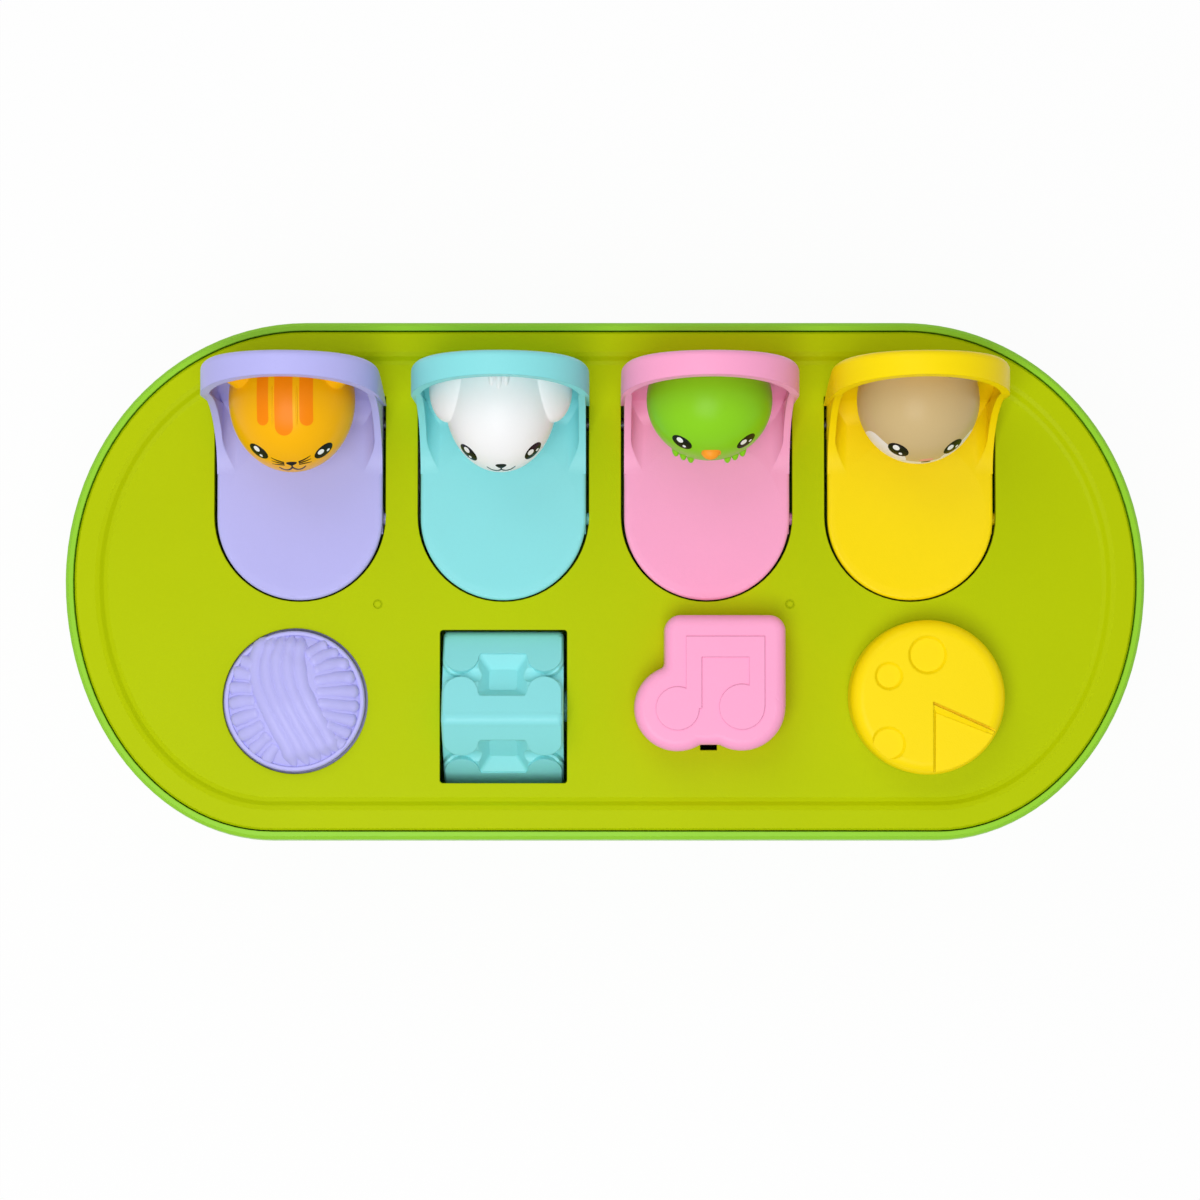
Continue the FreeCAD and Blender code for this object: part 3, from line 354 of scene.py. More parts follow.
pin_steel = drawn_steel("pin_steel", linear(66, 68, 72), (0.4, 6.0, 6.0))
screw_steel = drawn_steel("screw_steel", linear(128, 131, 136), (3.0, 3.0, 0.6))
rubber = plastic("rubber", linear(38, 38, 40), gloss=0.72, spread=0.15, uneven=0.25, grain=0.6,
                 wave=0.1)

pins = ["roller_axle", "button_spring"]
for animal in ANIMALS:
    for part in ("_hinge_pin", "_hinge_spring", "_latch_pin", "_latch_spring"):
        pins.append(animal + part)
screws = ["cover_screws", "note_screw", "dial_screw"]
for part in pins:
    dress(part, pin_steel)
for part in screws:
    dress(part, screw_steel)
dress("rubber_feet", rubber)
print("dressed", len(pins) + len(screws), "steel parts and the feet")

# %% [markdown]
# ## Painted heads
# The heads are moulded in one colour and masked with a second: darker tabby stripes, a pale lower
# face, an orange beak. A second colour with a clean edge is a mask over the skin's pigment. The
# mask is worked out from the distance to a simple form, a bar with a round end for a stripe and a
# rounded box for a patch, measured from the middle of the head by a Mapping node.

# %% Stripe mask
def mask_edge(group, value, soft, output):
    """1 inside, 0 outside, with a thin soft edge where the value is 1."""
    edge = add(group, "ShaderNodeMapRange", interpolation_type="SMOOTHSTEP")
    edge.inputs["From Min"].default_value = 1.0 - soft
    edge.inputs["From Max"].default_value = 1.0 + soft
    edge.inputs["To Min"].default_value = 1.0
    edge.inputs["To Max"].default_value = 0.0
    group.links.new(value, edge.inputs["Value"])
    group.links.new(edge.outputs["Result"], output)


stripe, takes, gives = new_group(
    "round_ended_stripe",
    {
        "Place": ("Vector", None),
        "Middle": ("Float", 0.0),
        "End": ("Float", 0.0),
        "Half width": ("Float", 0.003),
    },
    {"Mask": "Float"},
)
link = stripe.links.new
split = add(stripe, "ShaderNodeSeparateXYZ")
across = add(stripe, "ShaderNodeMath", operation="SUBTRACT")
along = add(stripe, "ShaderNodeMath", operation="SUBTRACT")
ahead = add(stripe, "ShaderNodeMath", operation="MINIMUM", values={1: 0.0})
join = add(stripe, "ShaderNodeCombineXYZ")
reach = add(stripe, "ShaderNodeVectorMath", operation="LENGTH")
ratio = add(stripe, "ShaderNodeMath", operation="DIVIDE")
link(takes.outputs["Place"], split.inputs[0])
link(split.outputs["X"], across.inputs[0])
link(takes.outputs["Middle"], across.inputs[1])
link(split.outputs["Y"], along.inputs[0])
link(takes.outputs["End"], along.inputs[1])
link(along.outputs[0], ahead.inputs[0])
link(across.outputs[0], join.inputs["X"])
link(ahead.outputs[0], join.inputs["Y"])
link(join.outputs[0], reach.inputs[0])
link(reach.outputs["Value"], ratio.inputs[0])
link(takes.outputs["Half width"], ratio.inputs[1])
mask_edge(stripe, ratio.outputs[0], 0.03, gives.inputs["Mask"])
print("group", stripe.name, "has", len(stripe.nodes), "nodes")

# %% Patch mask
patch, takes, gives = new_group(
    "rounded_patch",
    {
        "Place": ("Vector", None),
        "Middle": ("Vector", None),
        "Reach": ("Vector", (0.01, 0.01, 0.01)),
    },
    {"Mask": "Float"},
)
link = patch.links.new
shift = add(patch, "ShaderNodeVectorMath", operation="SUBTRACT")
share = add(patch, "ShaderNodeVectorMath", operation="DIVIDE")
square = add(patch, "ShaderNodeVectorMath", operation="MULTIPLY")
length = add(patch, "ShaderNodeVectorMath", operation="LENGTH")
link(takes.outputs["Place"], shift.inputs[0])
link(takes.outputs["Middle"], shift.inputs[1])
link(shift.outputs[0], share.inputs[0])
link(takes.outputs["Reach"], share.inputs[1])
link(share.outputs[0], square.inputs[0])
link(share.outputs[0], square.inputs[1])
link(square.outputs[0], length.inputs[0])
mask_edge(patch, length.outputs["Value"], 0.02, gives.inputs["Mask"])
print("group", patch.name, "has", len(patch.nodes), "nodes")

# %% Second colours
HEAD_Y, HEAD_Z = 54.5, 97.0


def second_colour(material, animal, colour, group, forms):
    """Puts a colour inside masked forms, which are given in mm from the head's middle."""
    tree = material.node_tree
    middle = [-v * MM for v in (FLAP_X[animal], HEAD_Y, HEAD_Z)]
    centre = add(tree, "ShaderNodeMapping", values={"Location": middle})
    tree.links.new(tree.nodes["place"].outputs["Object"], centre.inputs["Vector"])
    total = None
    for form in forms:
        mask = add(tree, "ShaderNodeGroup", node_tree=group)
        for label, value in form.items():
            scaled = [v * MM for v in value] if isinstance(value, tuple) else value * MM
            mask.inputs[label].default_value = scaled
        tree.links.new(centre.outputs[0], mask.inputs["Place"])
        if total is None:
            total = mask.outputs["Mask"]
        else:
            most = add(tree, "ShaderNodeMath", operation="MAXIMUM")
            tree.links.new(total, most.inputs[0])
            tree.links.new(mask.outputs["Mask"], most.inputs[1])
            total = most.outputs[0]
    pigment = tree.nodes["skin"].inputs["Pigment"]
    blend = add(tree, "ShaderNodeMix", data_type="RGBA")
    blend.inputs["A"].default_value = pigment.default_value
    blend.inputs["B"].default_value = colour
    tree.links.new(total, blend.inputs["Factor"])
    tree.links.new(blend.outputs["Result"], pigment)


def head_plastic(animal, colour):
    """A head's plastic in its first colour, already on the head."""
    material = plastic(animal + "_head_paint", colour, gloss=0.32, uneven=0.05, grain=0.1, edge=0.5,
                       shine=0.15)
    dress(animal + "_head", material)
    return material


print("helpers ready: second_colour, head_plastic")

# %% Head materials
cat_paint = head_plastic("cat", linear(255, 186, 0))
second_colour(cat_paint, "cat", linear(255, 140, 0), stripe, [
    {"Middle": -0.5, "End": -9.8, "Half width": 2.75},
    {"Middle": -6.9, "End": -7.7, "Half width": 1.8},
    {"Middle": 6.25, "End": -7.6, "Half width": 2.0},
])
head_plastic("dog", linear(250, 250, 251))
bird_paint = head_plastic("bird", linear(142, 214, 30))
second_colour(bird_paint, "bird", linear(255, 160, 40), patch, [
    {"Middle": (0.2, -17.6, 7.5), "Reach": (3.0, 1.7, 2.1)},
])
mouse_paint = head_plastic("mouse", linear(210, 184, 132))
second_colour(mouse_paint, "mouse", linear(247, 240, 232), patch, [
    {"Middle": (-11.0, -15.5, 0.0), "Reach": (7.0, 6.0, 7.5)},
    {"Middle": (12.5, -15.0, -0.5), "Reach": (6.5, 6.0, 6.5)},
    {"Middle": (1.5, -19.0, -3.0), "Reach": (9.0, 6.0, 6.2)},
])
print("painted", len(ANIMALS), "heads")

# %% [markdown]
# ## Printed faces
# The eyes, noses and mouths are pad printed: a film of ink a few hundredths of a millimetre thick.
# A flat decal would float over a round head, so each shape is drawn flat in millimetres, thrown
# onto the head along one direction, and given a skin's thickness with a closed rim. The ray test
# uses the head's own surface, so the ink follows whatever is modelled there.

# %% Ink
def ink(name, colour, gloss, uneven, shine=0.25):
    """A smooth film with hardly any grain."""
    return plastic(name, colour, gloss=gloss, spread=0.1, uneven=uneven, grain=0.03, wave=0.03,
                   edge=0.05, shine=shine)


ink_black = ink("black_ink", linear(22, 20, 20), 0.2, 0.3, shine=0.12)
ink_white = ink("white_ink", linear(250, 250, 250), 0.25, 0.03)
ink_rose = ink("rose_ink", linear(240, 160, 150), 0.25, 0.05)
print("inks:", [i.name for i in (ink_black, ink_white, ink_rose)])

# %% Flat shapes
def oval(cx, cy, half_wide, half_tall, taper=0.0, rings=4, around=28):
    """Points and faces of a flat oval. A taper makes its top wider than its foot."""
    points = [(cx, cy)]
    for ring in range(1, rings + 1):
        for k in range(around):
            a = 2 * math.pi * k / around
            u, v = ring / rings * math.cos(a), ring / rings * math.sin(a)
            points.append((cx + half_wide * u * (1 + taper * v), cy + half_tall * v))
    faces = [(0, 1 + k, 1 + (k + 1) % around) for k in range(around)]
    for ring in range(rings - 1):
        low, high = 1 + ring * around, 1 + (ring + 1) * around
        for k in range(around):
            n = (k + 1) % around
            faces.append((low + k, high + k, high + n, low + n))
    return points, faces


def stroke(path, widths, steps=12):
    """A pen line through two or three points, with its width along it, as a flat strip."""
    path = np.array(path, float)
    at = np.linspace(0, len(path) - 1, steps + 1)
    if len(path) == 3:
        t = at / 2
        pull = 2 * path[1] - (path[0] + path[2]) / 2
        curve = np.outer((1 - t) ** 2, path[0]) + np.outer(2 * t * (1 - t), pull)
        curve += np.outer(t ** 2, path[2])
    else:
        curve = np.stack([np.interp(at, range(len(path)), path[:, d]) for d in (0, 1)], axis=1)
    wide = np.interp(at, np.linspace(0, len(path) - 1, len(widths)), widths)
    way = np.gradient(curve, axis=0)
    way /= np.linalg.norm(way, axis=1)[:, None]
    side = np.stack([-way[:, 1], way[:, 0]], axis=1) * wide[:, None] / 2
    points = []
    for p, q in zip(curve, side):
        points += [tuple(p - q), tuple(p + q)]
    faces = [(2 * k, 2 * k + 2, 2 * k + 3, 2 * k + 1) for k in range(steps)]
    return points, faces


print("an oval has", len(oval(0, 0, 3, 2)[1]), "faces")

# %% Head surfaces
heads = {}
for animal in ANIMALS:
    mesh = nodes[animal + "_head"].data
    mesh.calc_loop_triangles()
    corners = [vertex.co for vertex in mesh.vertices]
    heads[animal] = BVHTree.FromPolygons(corners, [tuple(t.vertices) for t in mesh.loop_triangles])
print("head surfaces:", {animal: len(nodes[animal + "_head"].data.polygons) for animal in ANIMALS})

# %% Throwing ink onto a head
# all in mm
DROP = 40.0        # from the head's middle up to where a plan point starts to fall
PEN = 12.0         # from the head's surface out to the flat shape
REACH = 30.0       # how far the flat shape's points are thrown
ROOT = 0.12        # how deep the film is sunk into the head


def face_spot(animal, x, y):
    """The head's surface under a plan point, in mm from its middle: place, right, up and out."""
    above = Vector((FLAP_X[animal] + x, HEAD_Y + y, HEAD_Z + DROP)) * MM
    hit, normal, _, _ = heads[animal].ray_cast(above, Vector((0, 0, -1)))
    right = Vector((0, 0, 1)).cross(normal).normalized()
    return hit, right, normal.cross(right).normalized(), normal.normalized()


def print_on(bm, animal, spot, shape, lift):
    """Adds one flat shape to the mesh as a closed film that stands lift mm out of the head."""
    hit, right, up, out = spot
    points, faces = shape
    top, low = [], []
    for x, y in points:
        start = hit + right * (x * MM) + up * (y * MM) + out * (PEN * MM)
        place, normal, _, _ = heads[animal].ray_cast(start, -out, REACH * MM)
        if place is None:
            place, normal = start - out * (PEN * MM), out
        top.append(bm.verts.new(place + normal * (lift * MM)))
        low.append(bm.verts.new(place - normal * (ROOT * MM)))
    edges = set()
    for face in faces:
        bm.faces.new([top[k] for k in face])
        bm.faces.new([low[k] for k in reversed(face)])
        edges.update(zip(face, face[1:] + face[:1]))
    for a, b in sorted(edges):
        if (b, a) not in edges:
            bm.faces.new([top[b], top[a], low[a], low[b]])


print("helpers ready: face_spot, print_on")

# %% Print maker
def finish_piece(name, bm, body, material, smooth=False):
    """Turns a mesh in the making into a piece that rides on a body."""
    bmesh.ops.recalc_face_normals(bm, faces=bm.faces)
    mesh = bpy.data.meshes.new(name)
    bm.to_mesh(mesh)
    bm.free()
    mesh.materials.append(material)
    if smooth:
        mesh.shade_smooth()
    piece = bpy.data.objects.new(name, mesh)
    bpy.context.scene.collection.objects.link(piece)
    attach(piece, body)


def printed(name, animal, material, spots, lift):
    """One ink of one face: a list of (x, y, shape) spots."""
    bm = bmesh.new()
    for x, y, shape in spots:
        print_on(bm, animal, face_spot(animal, x, y), shape, lift)
    finish_piece(name, bm, animal + "_flap", material)


print("helpers ready: finish_piece, printed")

# %% Eyes
INK_LIFT, HIGHLIGHT_LIFT = 0.05, 0.08
EYE_HALF_WIDE = 3.35
# for each animal: the left eye's and the right eye's plan spot, and half their height, in mm
EYES = {"cat": ((-9.1, -16.7), (10.6, -16.4), 2.6), "dog": ((-9.7, -16.8), (10.2, -16.3), 2.9),
        "bird": ((-8.8, -14.0), (10.9, -13.5), 2.7), "mouse": ((-7.1, -16.2), (9.8, -15.1), 3.0)}
for animal, (left, right, tall) in EYES.items():
    black, white = [], []
    for place in (left, right):
        black.append((*place, oval(0, 0, EYE_HALF_WIDE, tall)))
        white.append((*place, oval(-0.85, 0.28 * tall, 1.1, 0.4 * tall)))
        white.append((*place, oval(1.2, -0.4 * tall, 0.55, 0.2 * tall)))
    printed(animal + "_eyes", animal, ink_black, black, INK_LIFT)
    printed(animal + "_eye_lights", animal, ink_white, white, HIGHLIGHT_LIFT)
print("printed", 2 * len(EYES), "eyes")

# %% Noses, mouths and whiskers
WHISKER_X = (2.2, 4.1, 6.0)
WHISKER_Y = [(0.7, 1.3, 2.2), (0.0, 0.25, 0.6), (-0.8, -0.9, -1.2)]


def muzzle(nose, tip, stem, smile, end_width):
    """A nose, the short line under it and a smile, all drawn from the nose's plan spot."""
    shapes = [oval(0, 0, *tip), stroke(stem, [0.5, 0.45])]
    for side in (-1, 1):
        shapes.append(stroke([(side * x, y) for x, y in smile], [0.6, 1.0, end_width]))
    return [(*nose, shape) for shape in shapes]


cat_nose = (0.8, -20.3)
cat_lines = muzzle(cat_nose, (1.5, 1.05, 0.5), [(0, -0.7), (0, -2.3)],
                   [(0, -2.2), (1.9, -4.5), (4.0, -2.6)], 0.4)
for side in (-1, 1):
    for heights in WHISKER_Y:
        whisker = [(side * x, y) for x, y in zip(WHISKER_X, heights)]
        cat_lines.append((*cat_nose, stroke(whisker, [0.6, 0.55, 0.2])))
printed("cat_muzzle_print", "cat", ink_black, cat_lines, INK_LIFT)

dog_lines = muzzle((0.3, -20.9), (1.5, 1.3, 0.55), [(0, -1.0), (0, -2.2)],
                   [(0, -2.1), (2.0, -3.4), (4.3, -1.4)], 0.35)
printed("dog_muzzle_print", "dog", ink_black, dog_lines, INK_LIFT)

mouse_nose = (1.9, -19.0)
mouse_mouth = [(*mouse_nose, oval(0, -1.4, 1.5, 0.6))]
mouse_tip = [(*mouse_nose, oval(0, 0.5, 2.3, 0.9))]
printed("mouse_mouth_print", "mouse", ink_black, mouse_mouth, INK_LIFT)
printed("mouse_nose_print", "mouse", ink_rose, mouse_tip, INK_LIFT)
print("muzzle lines: cat", len(cat_lines), "dog", len(dog_lines))

# %% [markdown]
# ## Wound yarn
# The push button is a ball of yarn: a band of strands curves over the middle, and shorter strands
# fan out on both sides to the rim. Each strand is a path on the dome. Geometry Nodes turn a path
# into a round thread that lies half sunk in the dome, swell it a little by noise, and thin its
# ends, so one tree with named sizes winds the whole ball.

# %% Thread tree
END_SHARE, END_WIDTH = 0.1, 0.45        # how much of a strand thins, and to what share


def tree_sockets(tree, takes):
    """Gives a geometry tree its inputs, and returns their identifiers by name."""
    face = tree.interface
    face.new_socket("Geometry", in_out="INPUT", socket_type="NodeSocketGeometry")
    sockets = {}
    for label, kind in takes.items():
        socket = face.new_socket(label, in_out="INPUT", socket_type="NodeSocket" + kind)
        sockets[label] = socket.identifier
    face.new_socket("Geometry", in_out="OUTPUT", socket_type="NodeSocketGeometry")
    return sockets


def thread_tree():
    """Turns polylines into round threads. Inputs: Thread radius, Unevenness, Seed, Material."""
    tree = bpy.data.node_groups.new("wind_threads", "GeometryNodeTree")
    sizes = tree_sockets(tree, {
        "Thread radius": "Float", "Unevenness": "Float", "Seed": "Float", "Material": "Material"})
    start, end = tree.nodes.new("NodeGroupInput"), tree.nodes.new("NodeGroupOutput")
    curve = add(tree, "GeometryNodeMeshToCurve")
    slope = add(tree, "GeometryNodeSplineParameter")
    rise = add(tree, "ShaderNodeMapRange", values={"From Max": END_SHARE, "To Min": END_WIDTH})
    fall = add(tree, "ShaderNodeMapRange",
               values={"From Min": 1.0 - END_SHARE, "To Min": 1.0, "To Max": END_WIDTH})
    ends = add(tree, "ShaderNodeMath", operation="MULTIPLY")
    noise = add(tree, "ShaderNodeTexNoise", noise_dimensions="4D",
                values={"Scale": 160.0, "Detail": 1.0})
    swell = add(tree, "ShaderNodeMapRange", values={"From Min": 0.3, "From Max": 0.7})
    less = add(tree, "ShaderNodeMath", operation="SUBTRACT", values={0: 1.0})
    more = add(tree, "ShaderNodeMath", operation="ADD", values={0: 1.0})
    thick = add(tree, "ShaderNodeMath", operation="MULTIPLY")
    full = add(tree, "ShaderNodeMath", operation="MULTIPLY")
    ring = add(tree, "GeometryNodeCurvePrimitiveCircle", values={"Resolution": 14, "Radius": 1.0})
    sweep = add(tree, "GeometryNodeCurveToMesh", values={"Fill Caps": True})
    real = add(tree, "GeometryNodeRealizeInstances")
    paint = add(tree, "GeometryNodeSetMaterial")
    link = tree.links.new
    link(start.outputs["Geometry"], curve.inputs[0])
    link(slope.outputs["Factor"], rise.inputs["Value"])
    link(slope.outputs["Factor"], fall.inputs["Value"])
    link(rise.outputs["Result"], ends.inputs[0])
    link(fall.outputs["Result"], ends.inputs[1])
    link(start.outputs["Seed"], noise.inputs["W"])
    link(noise.outputs["Fac"], swell.inputs["Value"])
    link(start.outputs["Unevenness"], less.inputs[1])
    link(start.outputs["Unevenness"], more.inputs[1])
    link(less.outputs[0], swell.inputs["To Min"])
    link(more.outputs[0], swell.inputs["To Max"])
    link(ends.outputs[0], thick.inputs[0])
    link(swell.outputs["Result"], thick.inputs[1])
    link(thick.outputs[0], full.inputs[0])
    link(start.outputs["Thread radius"], full.inputs[1])
    link(curve.outputs[0], sweep.inputs["Curve"])
    link(ring.outputs["Curve"], sweep.inputs["Profile Curve"])
    link(full.outputs[0], sweep.inputs["Scale"])
    link(sweep.outputs[0], real.inputs[0])
    link(real.outputs[0], paint.inputs["Geometry"])
    link(start.outputs["Material"], paint.inputs["Material"])
    link(paint.outputs[0], end.inputs[0])
    return tree, sizes


threads, thread_sizes = thread_tree()
print("thread tree inputs:", list(thread_sizes))

# %% Smooth paths
def smooth_path(points, steps):
    """A smooth line through plan points, as a Catmull-Rom curve."""
    p = np.array([points[0], *points, points[-1]], float)
    line = []
    for k in range(1, len(p) - 2):
        for t in np.linspace(0, 1, steps, endpoint=False):
            a, b, c, d = p[k - 1:k + 3]
            line.append(0.5 * (2 * b + (c - a) * t + (2 * a - 5 * b + 4 * c - d) * t ** 2
                               + (3 * b - a - 3 * c + d) * t ** 3))
    line.append(p[-2])
    return line


print("a path through three points has", len(smooth_path([(0, 0), (1, 1), (2, 0)], 8)), "points")

# %% Winding
def grow(guide, tree, sockets, values):
    """Runs a geometry tree on a guide mesh and returns its result as a mesh in the making."""
    holder = bpy.data.objects.new("guide", guide)
    bpy.context.scene.collection.objects.link(holder)
    step = holder.modifiers.new("grow", "NODES")
    step.node_group = tree
    for label, value in values.items():
        step[sockets[label]] = value
    ready = holder.evaluated_get(bpy.context.evaluated_depsgraph_get())
    mesh = bpy.data.meshes.new_from_object(ready)
    bpy.data.objects.remove(holder)
    bpy.data.meshes.remove(guide)
    bm = bmesh.new()
    bm.from_mesh(mesh)
    bpy.data.meshes.remove(mesh)
    return bm


def wind(name, paths, radius, uneven, seed, body, material):
    """Threads along 3-D paths in metres, as one plain mesh that rides on a body."""
    verts, edges = [], []
    for path in paths:
        first = len(verts)
        verts += [tuple(point) for point in path]
        edges += [(k, k + 1) for k in range(first, len(verts) - 1)]
    guide = bpy.data.meshes.new("guide")
    guide.from_pydata(verts, edges, [])
    values = {"Thread radius": radius * MM, "Unevenness": uneven, "Seed": float(seed),
              "Material": material}
    bm = grow(guide, threads, thread_sizes, values)
    finish_piece(name, bm, body, material, smooth=True)


print("helpers ready: grow, wind")

# %% The ball's dome
YARN = Vector((-97.3, -37.9))
CROWN, BRIM, BALL_EDGE = 81.6, 20.6, 76.2
RIM_LIFT = 0.75
sag = CROWN - BALL_EDGE
ball_r = (BRIM ** 2 + sag ** 2) / (2 * sag)


def on_ball(points, sink, rim):
    """Plan points in mm from the button's middle, sunk into its dome, a little less at the rim."""
    line = []
    for x, y in smooth_path(points, 8):
        out = min(math.hypot(x, y), rim) / max(math.hypot(x, y), 1e-6)
        x, y = x * out, y * out
        z = CROWN - ball_r + math.sqrt(ball_r ** 2 - x * x - y * y)
        lift = RIM_LIFT * (math.hypot(x, y) / BRIM) ** 6
        line.append(Vector((YARN.x + x, YARN.y + y, z - sink + lift)) * MM)
    return line


print("dome radius", round(ball_r, 2), "mm")

# %% Strands
band = []
for k in range(5):
    band.append([
        (-7.6 + 2.6 * k, 22.0), (-11.6 + 3.3 * k, 13.4), (-11.4 + 3.5 * k, 6.0),
        (-9.0 + 3.5 * k, 0.0), (-5.6 + 3.6 * k, -7.0), (-1.8 + 3.6 * k, -14.0),
        (1.0 + 3.9 * k, -22.0 + 1.2 * k)])
fans = [[(3.4, 13.4), (8.0, 16.6), (10.4, 17.6)], [(4.6, 11.4), (10.0, 14.4), (14.0, 15.0)],
        [(5.6, 8.8), (12.0, 11.4), (17.2, 11.2)], [(5.6, 5.8), (13.0, 7.2), (19.0, 7.2)],
        [(5.8, 2.6), (13.5, 3.0), (20.2, 2.8)], [(6.4, -0.5), (14.0, -1.2), (20.2, -1.8)],
        [(7.2, -3.6), (14.5, -5.2), (19.3, -6.4)], [(9.2, -7.0), (14.6, -9.0), (17.4, -10.6)],
        [(11.6, -10.8), (14.2, -12.8), (15.4, -13.8)],
        [(-11.6, 10.8), (-15.4, 12.2), (-16.4, 12.4)], [(-12.0, 7.4), (-16.5, 8.6), (-18.8, 8.6)],
        [(-11.6, 3.8), (-16.5, 4.2), (-20.2, 3.8)], [(-10.8, 0.2), (-16.0, 0.0), (-20.3, -1.2)],
        [(-9.8, -3.2), (-14.5, -4.6), (-19.4, -6.4)], [(-8.4, -6.4), (-12.8, -9.0), (-17.2, -11.2)],
        [(-6.8, -9.6), (-10.6, -13.2), (-13.6, -15.4)],
        [(-4.8, -12.8), (-7.4, -16.2), (-8.8, -18.6)]]
band = [on_ball(points, 2.15, BRIM - 0.4) for points in band]
fans = [on_ball(points, 1.75, BRIM + 0.1) for points in fans]
wind("yarn_band", band, 3.0, 0.1, 3, "yarn_button", lavender)
wind("yarn_fans", fans, 2.4, 0.12, 8, "yarn_button", lavender)
print("wound", len(band), "band strands and", len(fans), "side strands")

# %% [markdown]
# ## Bone faces
# Each of the roller's five bones is wrapped over a ridge. On a face of the roller, half of one bone
# meets half of the next at a valley, so a face carries two low plates. A plate has a round lobe at
# each end, a waist between them, and sinks into the face towards its ridge. Geometry Nodes repeat
# the face round the axle.

# %% Repeat tree
def repeat_tree():
    """Repeats a shape round an axle along X. Inputs: Count, Axle, Material."""
    tree = bpy.data.node_groups.new("repeat_round_axle", "GeometryNodeTree")
    sizes = tree_sockets(tree, {"Count": "Int", "Axle": "Vector", "Material": "Material"})
    start, end = tree.nodes.new("NodeGroupInput"), tree.nodes.new("NodeGroupOutput")
    points = add(tree, "GeometryNodeMeshLine", values={"Offset": (0, 0, 0)})
    index = add(tree, "GeometryNodeInputIndex")
    share = add(tree, "ShaderNodeMath", operation="DIVIDE")
    angle = add(tree, "ShaderNodeMath", operation="MULTIPLY", values={1: 2 * math.pi})
    turn = add(tree, "ShaderNodeCombineXYZ")
    spin = add(tree, "FunctionNodeEulerToRotation")
    copies = add(tree, "GeometryNodeInstanceOnPoints")
    real = add(tree, "GeometryNodeRealizeInstances")
    paint = add(tree, "GeometryNodeSetMaterial")
    link = tree.links.new
    link(start.outputs["Count"], points.inputs["Count"])
    link(start.outputs["Axle"], points.inputs["Start Location"])
    link(index.outputs[0], share.inputs[0])
    link(start.outputs["Count"], share.inputs[1])
    link(share.outputs[0], angle.inputs[0])
    link(angle.outputs[0], turn.inputs["X"])
    link(turn.outputs[0], spin.inputs[0])
    link(points.outputs[0], copies.inputs["Points"])
    link(start.outputs["Geometry"], copies.inputs["Instance"])
    link(spin.outputs[0], copies.inputs["Rotation"])
    link(copies.outputs[0], real.inputs[0])
    link(real.outputs[0], paint.inputs["Geometry"])
    link(start.outputs["Material"], paint.inputs["Material"])
    link(paint.outputs[0], end.inputs[0])
    return tree, sizes


rounder, rounder_sizes = repeat_tree()
print("repeat tree inputs:", list(rounder_sizes))

# %% Bone plates
FACES = 5
AXLE, ROLLER_R, ROLLER_LENGTH = Vector((-51.0, -39.6, 58.0)), 27.0, 38.0
APOTHEM = ROLLER_R * math.cos(math.pi / FACES)
FACE_LEAN = 45.0        # degrees from straight up to the middle of a face
LOBE_R, LOBE_MIDDLE, WAIST, RIDGE = 5.4, 6.3, 7.4, 13.6
PLATE_RISE, RIDGE_SINK, PLATE_ROOT, END_GAP = 0.85, 0.05, 2.6, 0.6


def bone_plate(bm, hand):
    """Half a bone on the top face, measured from the axle's start. hand picks the side."""
    half = [(END_GAP, RIDGE)]
    for k in range(15):
        a = math.pi * k / 14
        half.append((END_GAP + LOBE_R * (1 - math.cos(a)), LOBE_MIDDLE - LOBE_R * math.sin(a)))
    half.append((2 * END_GAP + 2 * LOBE_R, WAIST))
    outline = half + [(ROLLER_LENGTH - x, t) for x, t in reversed(half)]
    top, low = [], []
    for x, t in outline:
        rise = PLATE_RISE - (PLATE_RISE + RIDGE_SINK) * t / RIDGE
        top.append(bm.verts.new(Vector((x, hand * t, APOTHEM + rise)) * MM))
        low.append(bm.verts.new(Vector((x, hand * t, APOTHEM - PLATE_ROOT)) * MM))
    bm.faces.new(top)
    bm.faces.new(list(reversed(low)))
    for k in range(len(top)):
        n = (k + 1) % len(top)
        bm.faces.new([top[n], top[k], low[k], low[n]])


bm = bmesh.new()
for hand in (-1, 1):
    bone_plate(bm, hand)
lean = Matrix.Rotation(math.radians(FACE_LEAN), 3, "X")
bmesh.ops.rotate(bm, verts=bm.verts, cent=(0, 0, 0), matrix=lean)
guide = bpy.data.meshes.new("guide")
bm.to_mesh(guide)
bm.free()
bm = grow(guide, rounder, rounder_sizes, {"Count": FACES, "Axle": AXLE * MM, "Material": aqua})
finish_piece("bone_plates", bm, "bone_roller", aqua)
print("bone plates:", 2 * FACES)

# %% [markdown]
# ## The cut in the cheese
# The wedge that is cut out of the cheese has soft, sloping sides, the right one wider than the
# left. A slope is a row of three-cornered sections along a side of the cut, joined into a closed
# bar. Beyond the flat top it comes down with the wheel's rounded rim.

# %% Sloping sides of the cut
CHEESE = Vector((100.2, -37.6))
CUT_TIP, CUT_DEPTH = Vector((1.3, -1.3)), 1.4
FLAT_R, RIM_ROUND = 20.0, 4.0
CHEESE_TOP = max(v.co.z for v in nodes["cheese_dial"].data.vertices) / MM
BED = CHEESE_TOP - CUT_DEPTH
SIDE_LENGTH, STEPS = 20.6, 8


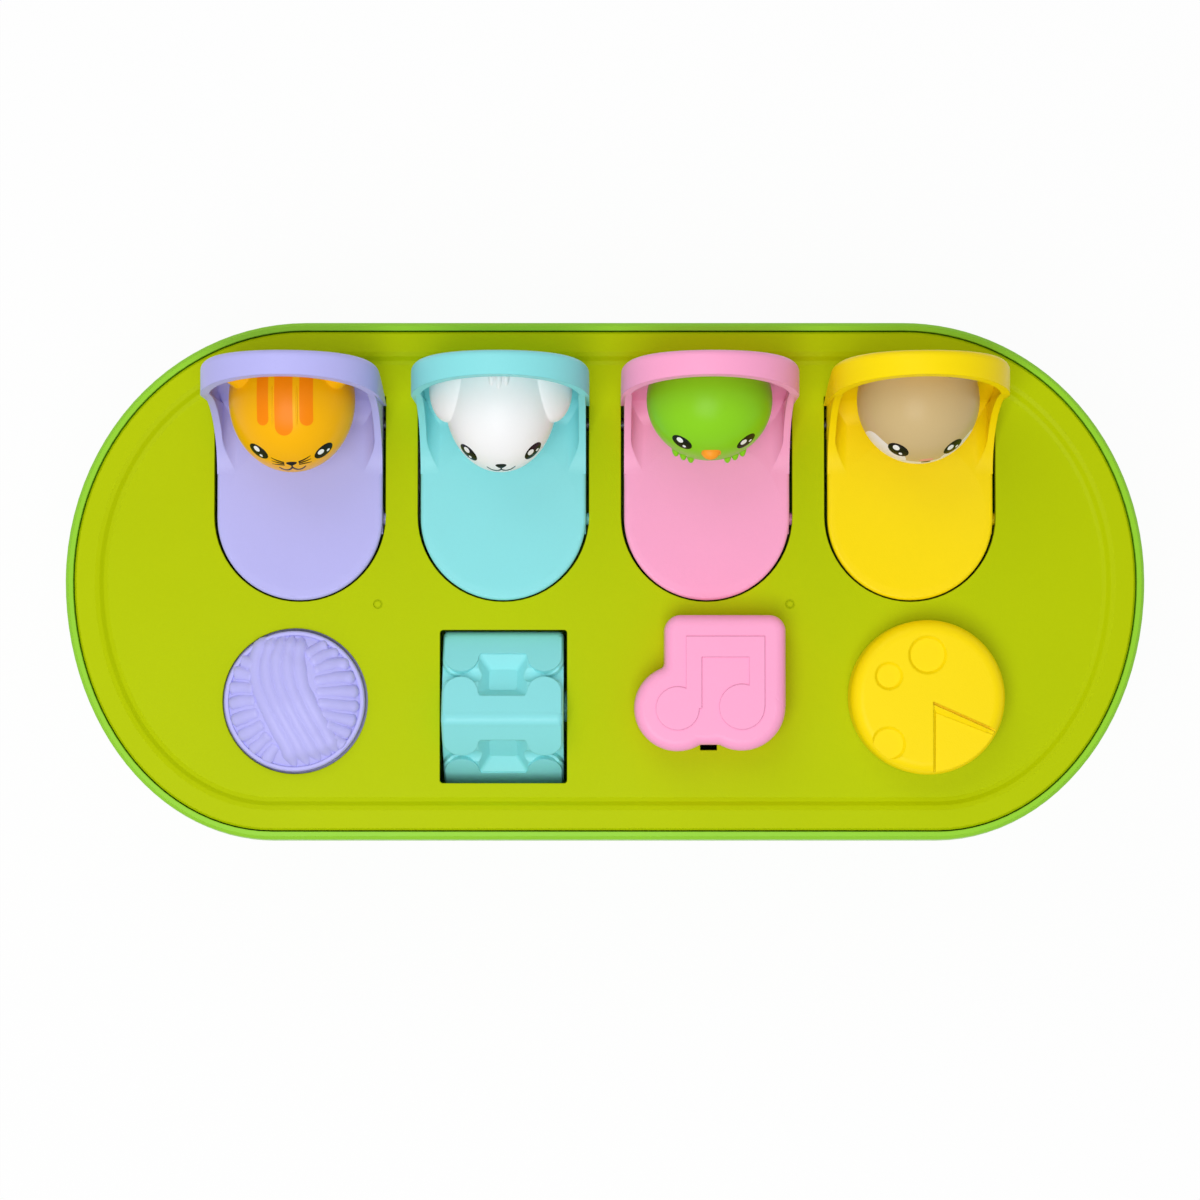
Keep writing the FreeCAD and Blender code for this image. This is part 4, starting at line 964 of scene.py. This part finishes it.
def sloping_side(bm, heading, inward, tip_width, end_width):
    """A bar along one side of the cut. heading is its direction in degrees, inward 1 or -1."""
    way = Vector((math.cos(math.radians(heading)), math.sin(math.radians(heading))))
    across = Vector((-way.y, way.x)) * inward
    rows = []
    for k in range(STEPS + 1):
        spot = CUT_TIP + way * (0.2 + SIDE_LENGTH * k / STEPS)
        past = max(spot.length - FLAT_R, 0.0)
        crest = CHEESE_TOP - RIM_ROUND + math.sqrt(RIM_ROUND ** 2 - past ** 2)
        width = tip_width + (end_width - tip_width) * k / STEPS
        spot += CHEESE
        # a crest just under the wheel's top, a root inside the wheel, a foot just under the bed
        corners = [(spot, crest - 0.02), (spot - across * 0.3, BED - 0.3),
                   (spot + across * width, BED - 0.03)]
        rows.append([bm.verts.new(Vector((at.x, at.y, z)) * MM) for at, z in corners])
    bm.faces.new(rows[0])
    bm.faces.new(list(reversed(rows[-1])))
    for near, far in zip(rows, rows[1:]):
        for k in range(3):
            n = (k + 1) % 3
            bm.faces.new([near[k], far[k], far[n], near[n]])


bm = bmesh.new()
sloping_side(bm, -90, 1, 1.0, 0.8)
sloping_side(bm, -24, -1, 2.2, 1.2)
finish_piece("cheese_cut_sides", bm, "cheese_dial", yellow)
print("cheese top at", round(CHEESE_TOP, 2), "mm")

# %% [markdown]
# ## Tabby ribs
# Between the cat's stripes the mould has a thin raised line. It follows the head from under the
# lid to the brow, so it is a fine thread laid on the head's surface.

# %% Ribs on the cat
def on_head(animal, points, sink):
    """Plan points in mm from the head's middle, dropped onto the head from above."""
    line = []
    for x, y in smooth_path(points, 10):
        start = Vector((FLAP_X[animal] + x, HEAD_Y + y, HEAD_Z + DROP)) * MM
        place, normal, _, _ = heads[animal].ray_cast(start, Vector((0, 0, -1)))
        line.append(place - normal * (sink * MM))
    return line


RIB_X, RIB_RADIUS = (-3.9, 3.45), 0.34
ribs = [on_head("cat", [(x, 2.0), (x, -4.0), (x, -9.4)], 0.1) for x in RIB_X]
wind("cat_tabby_ribs", ribs, RIB_RADIUS, 0.05, 5, "cat_flap", cat_paint)
print("laid", len(ribs), "ribs")
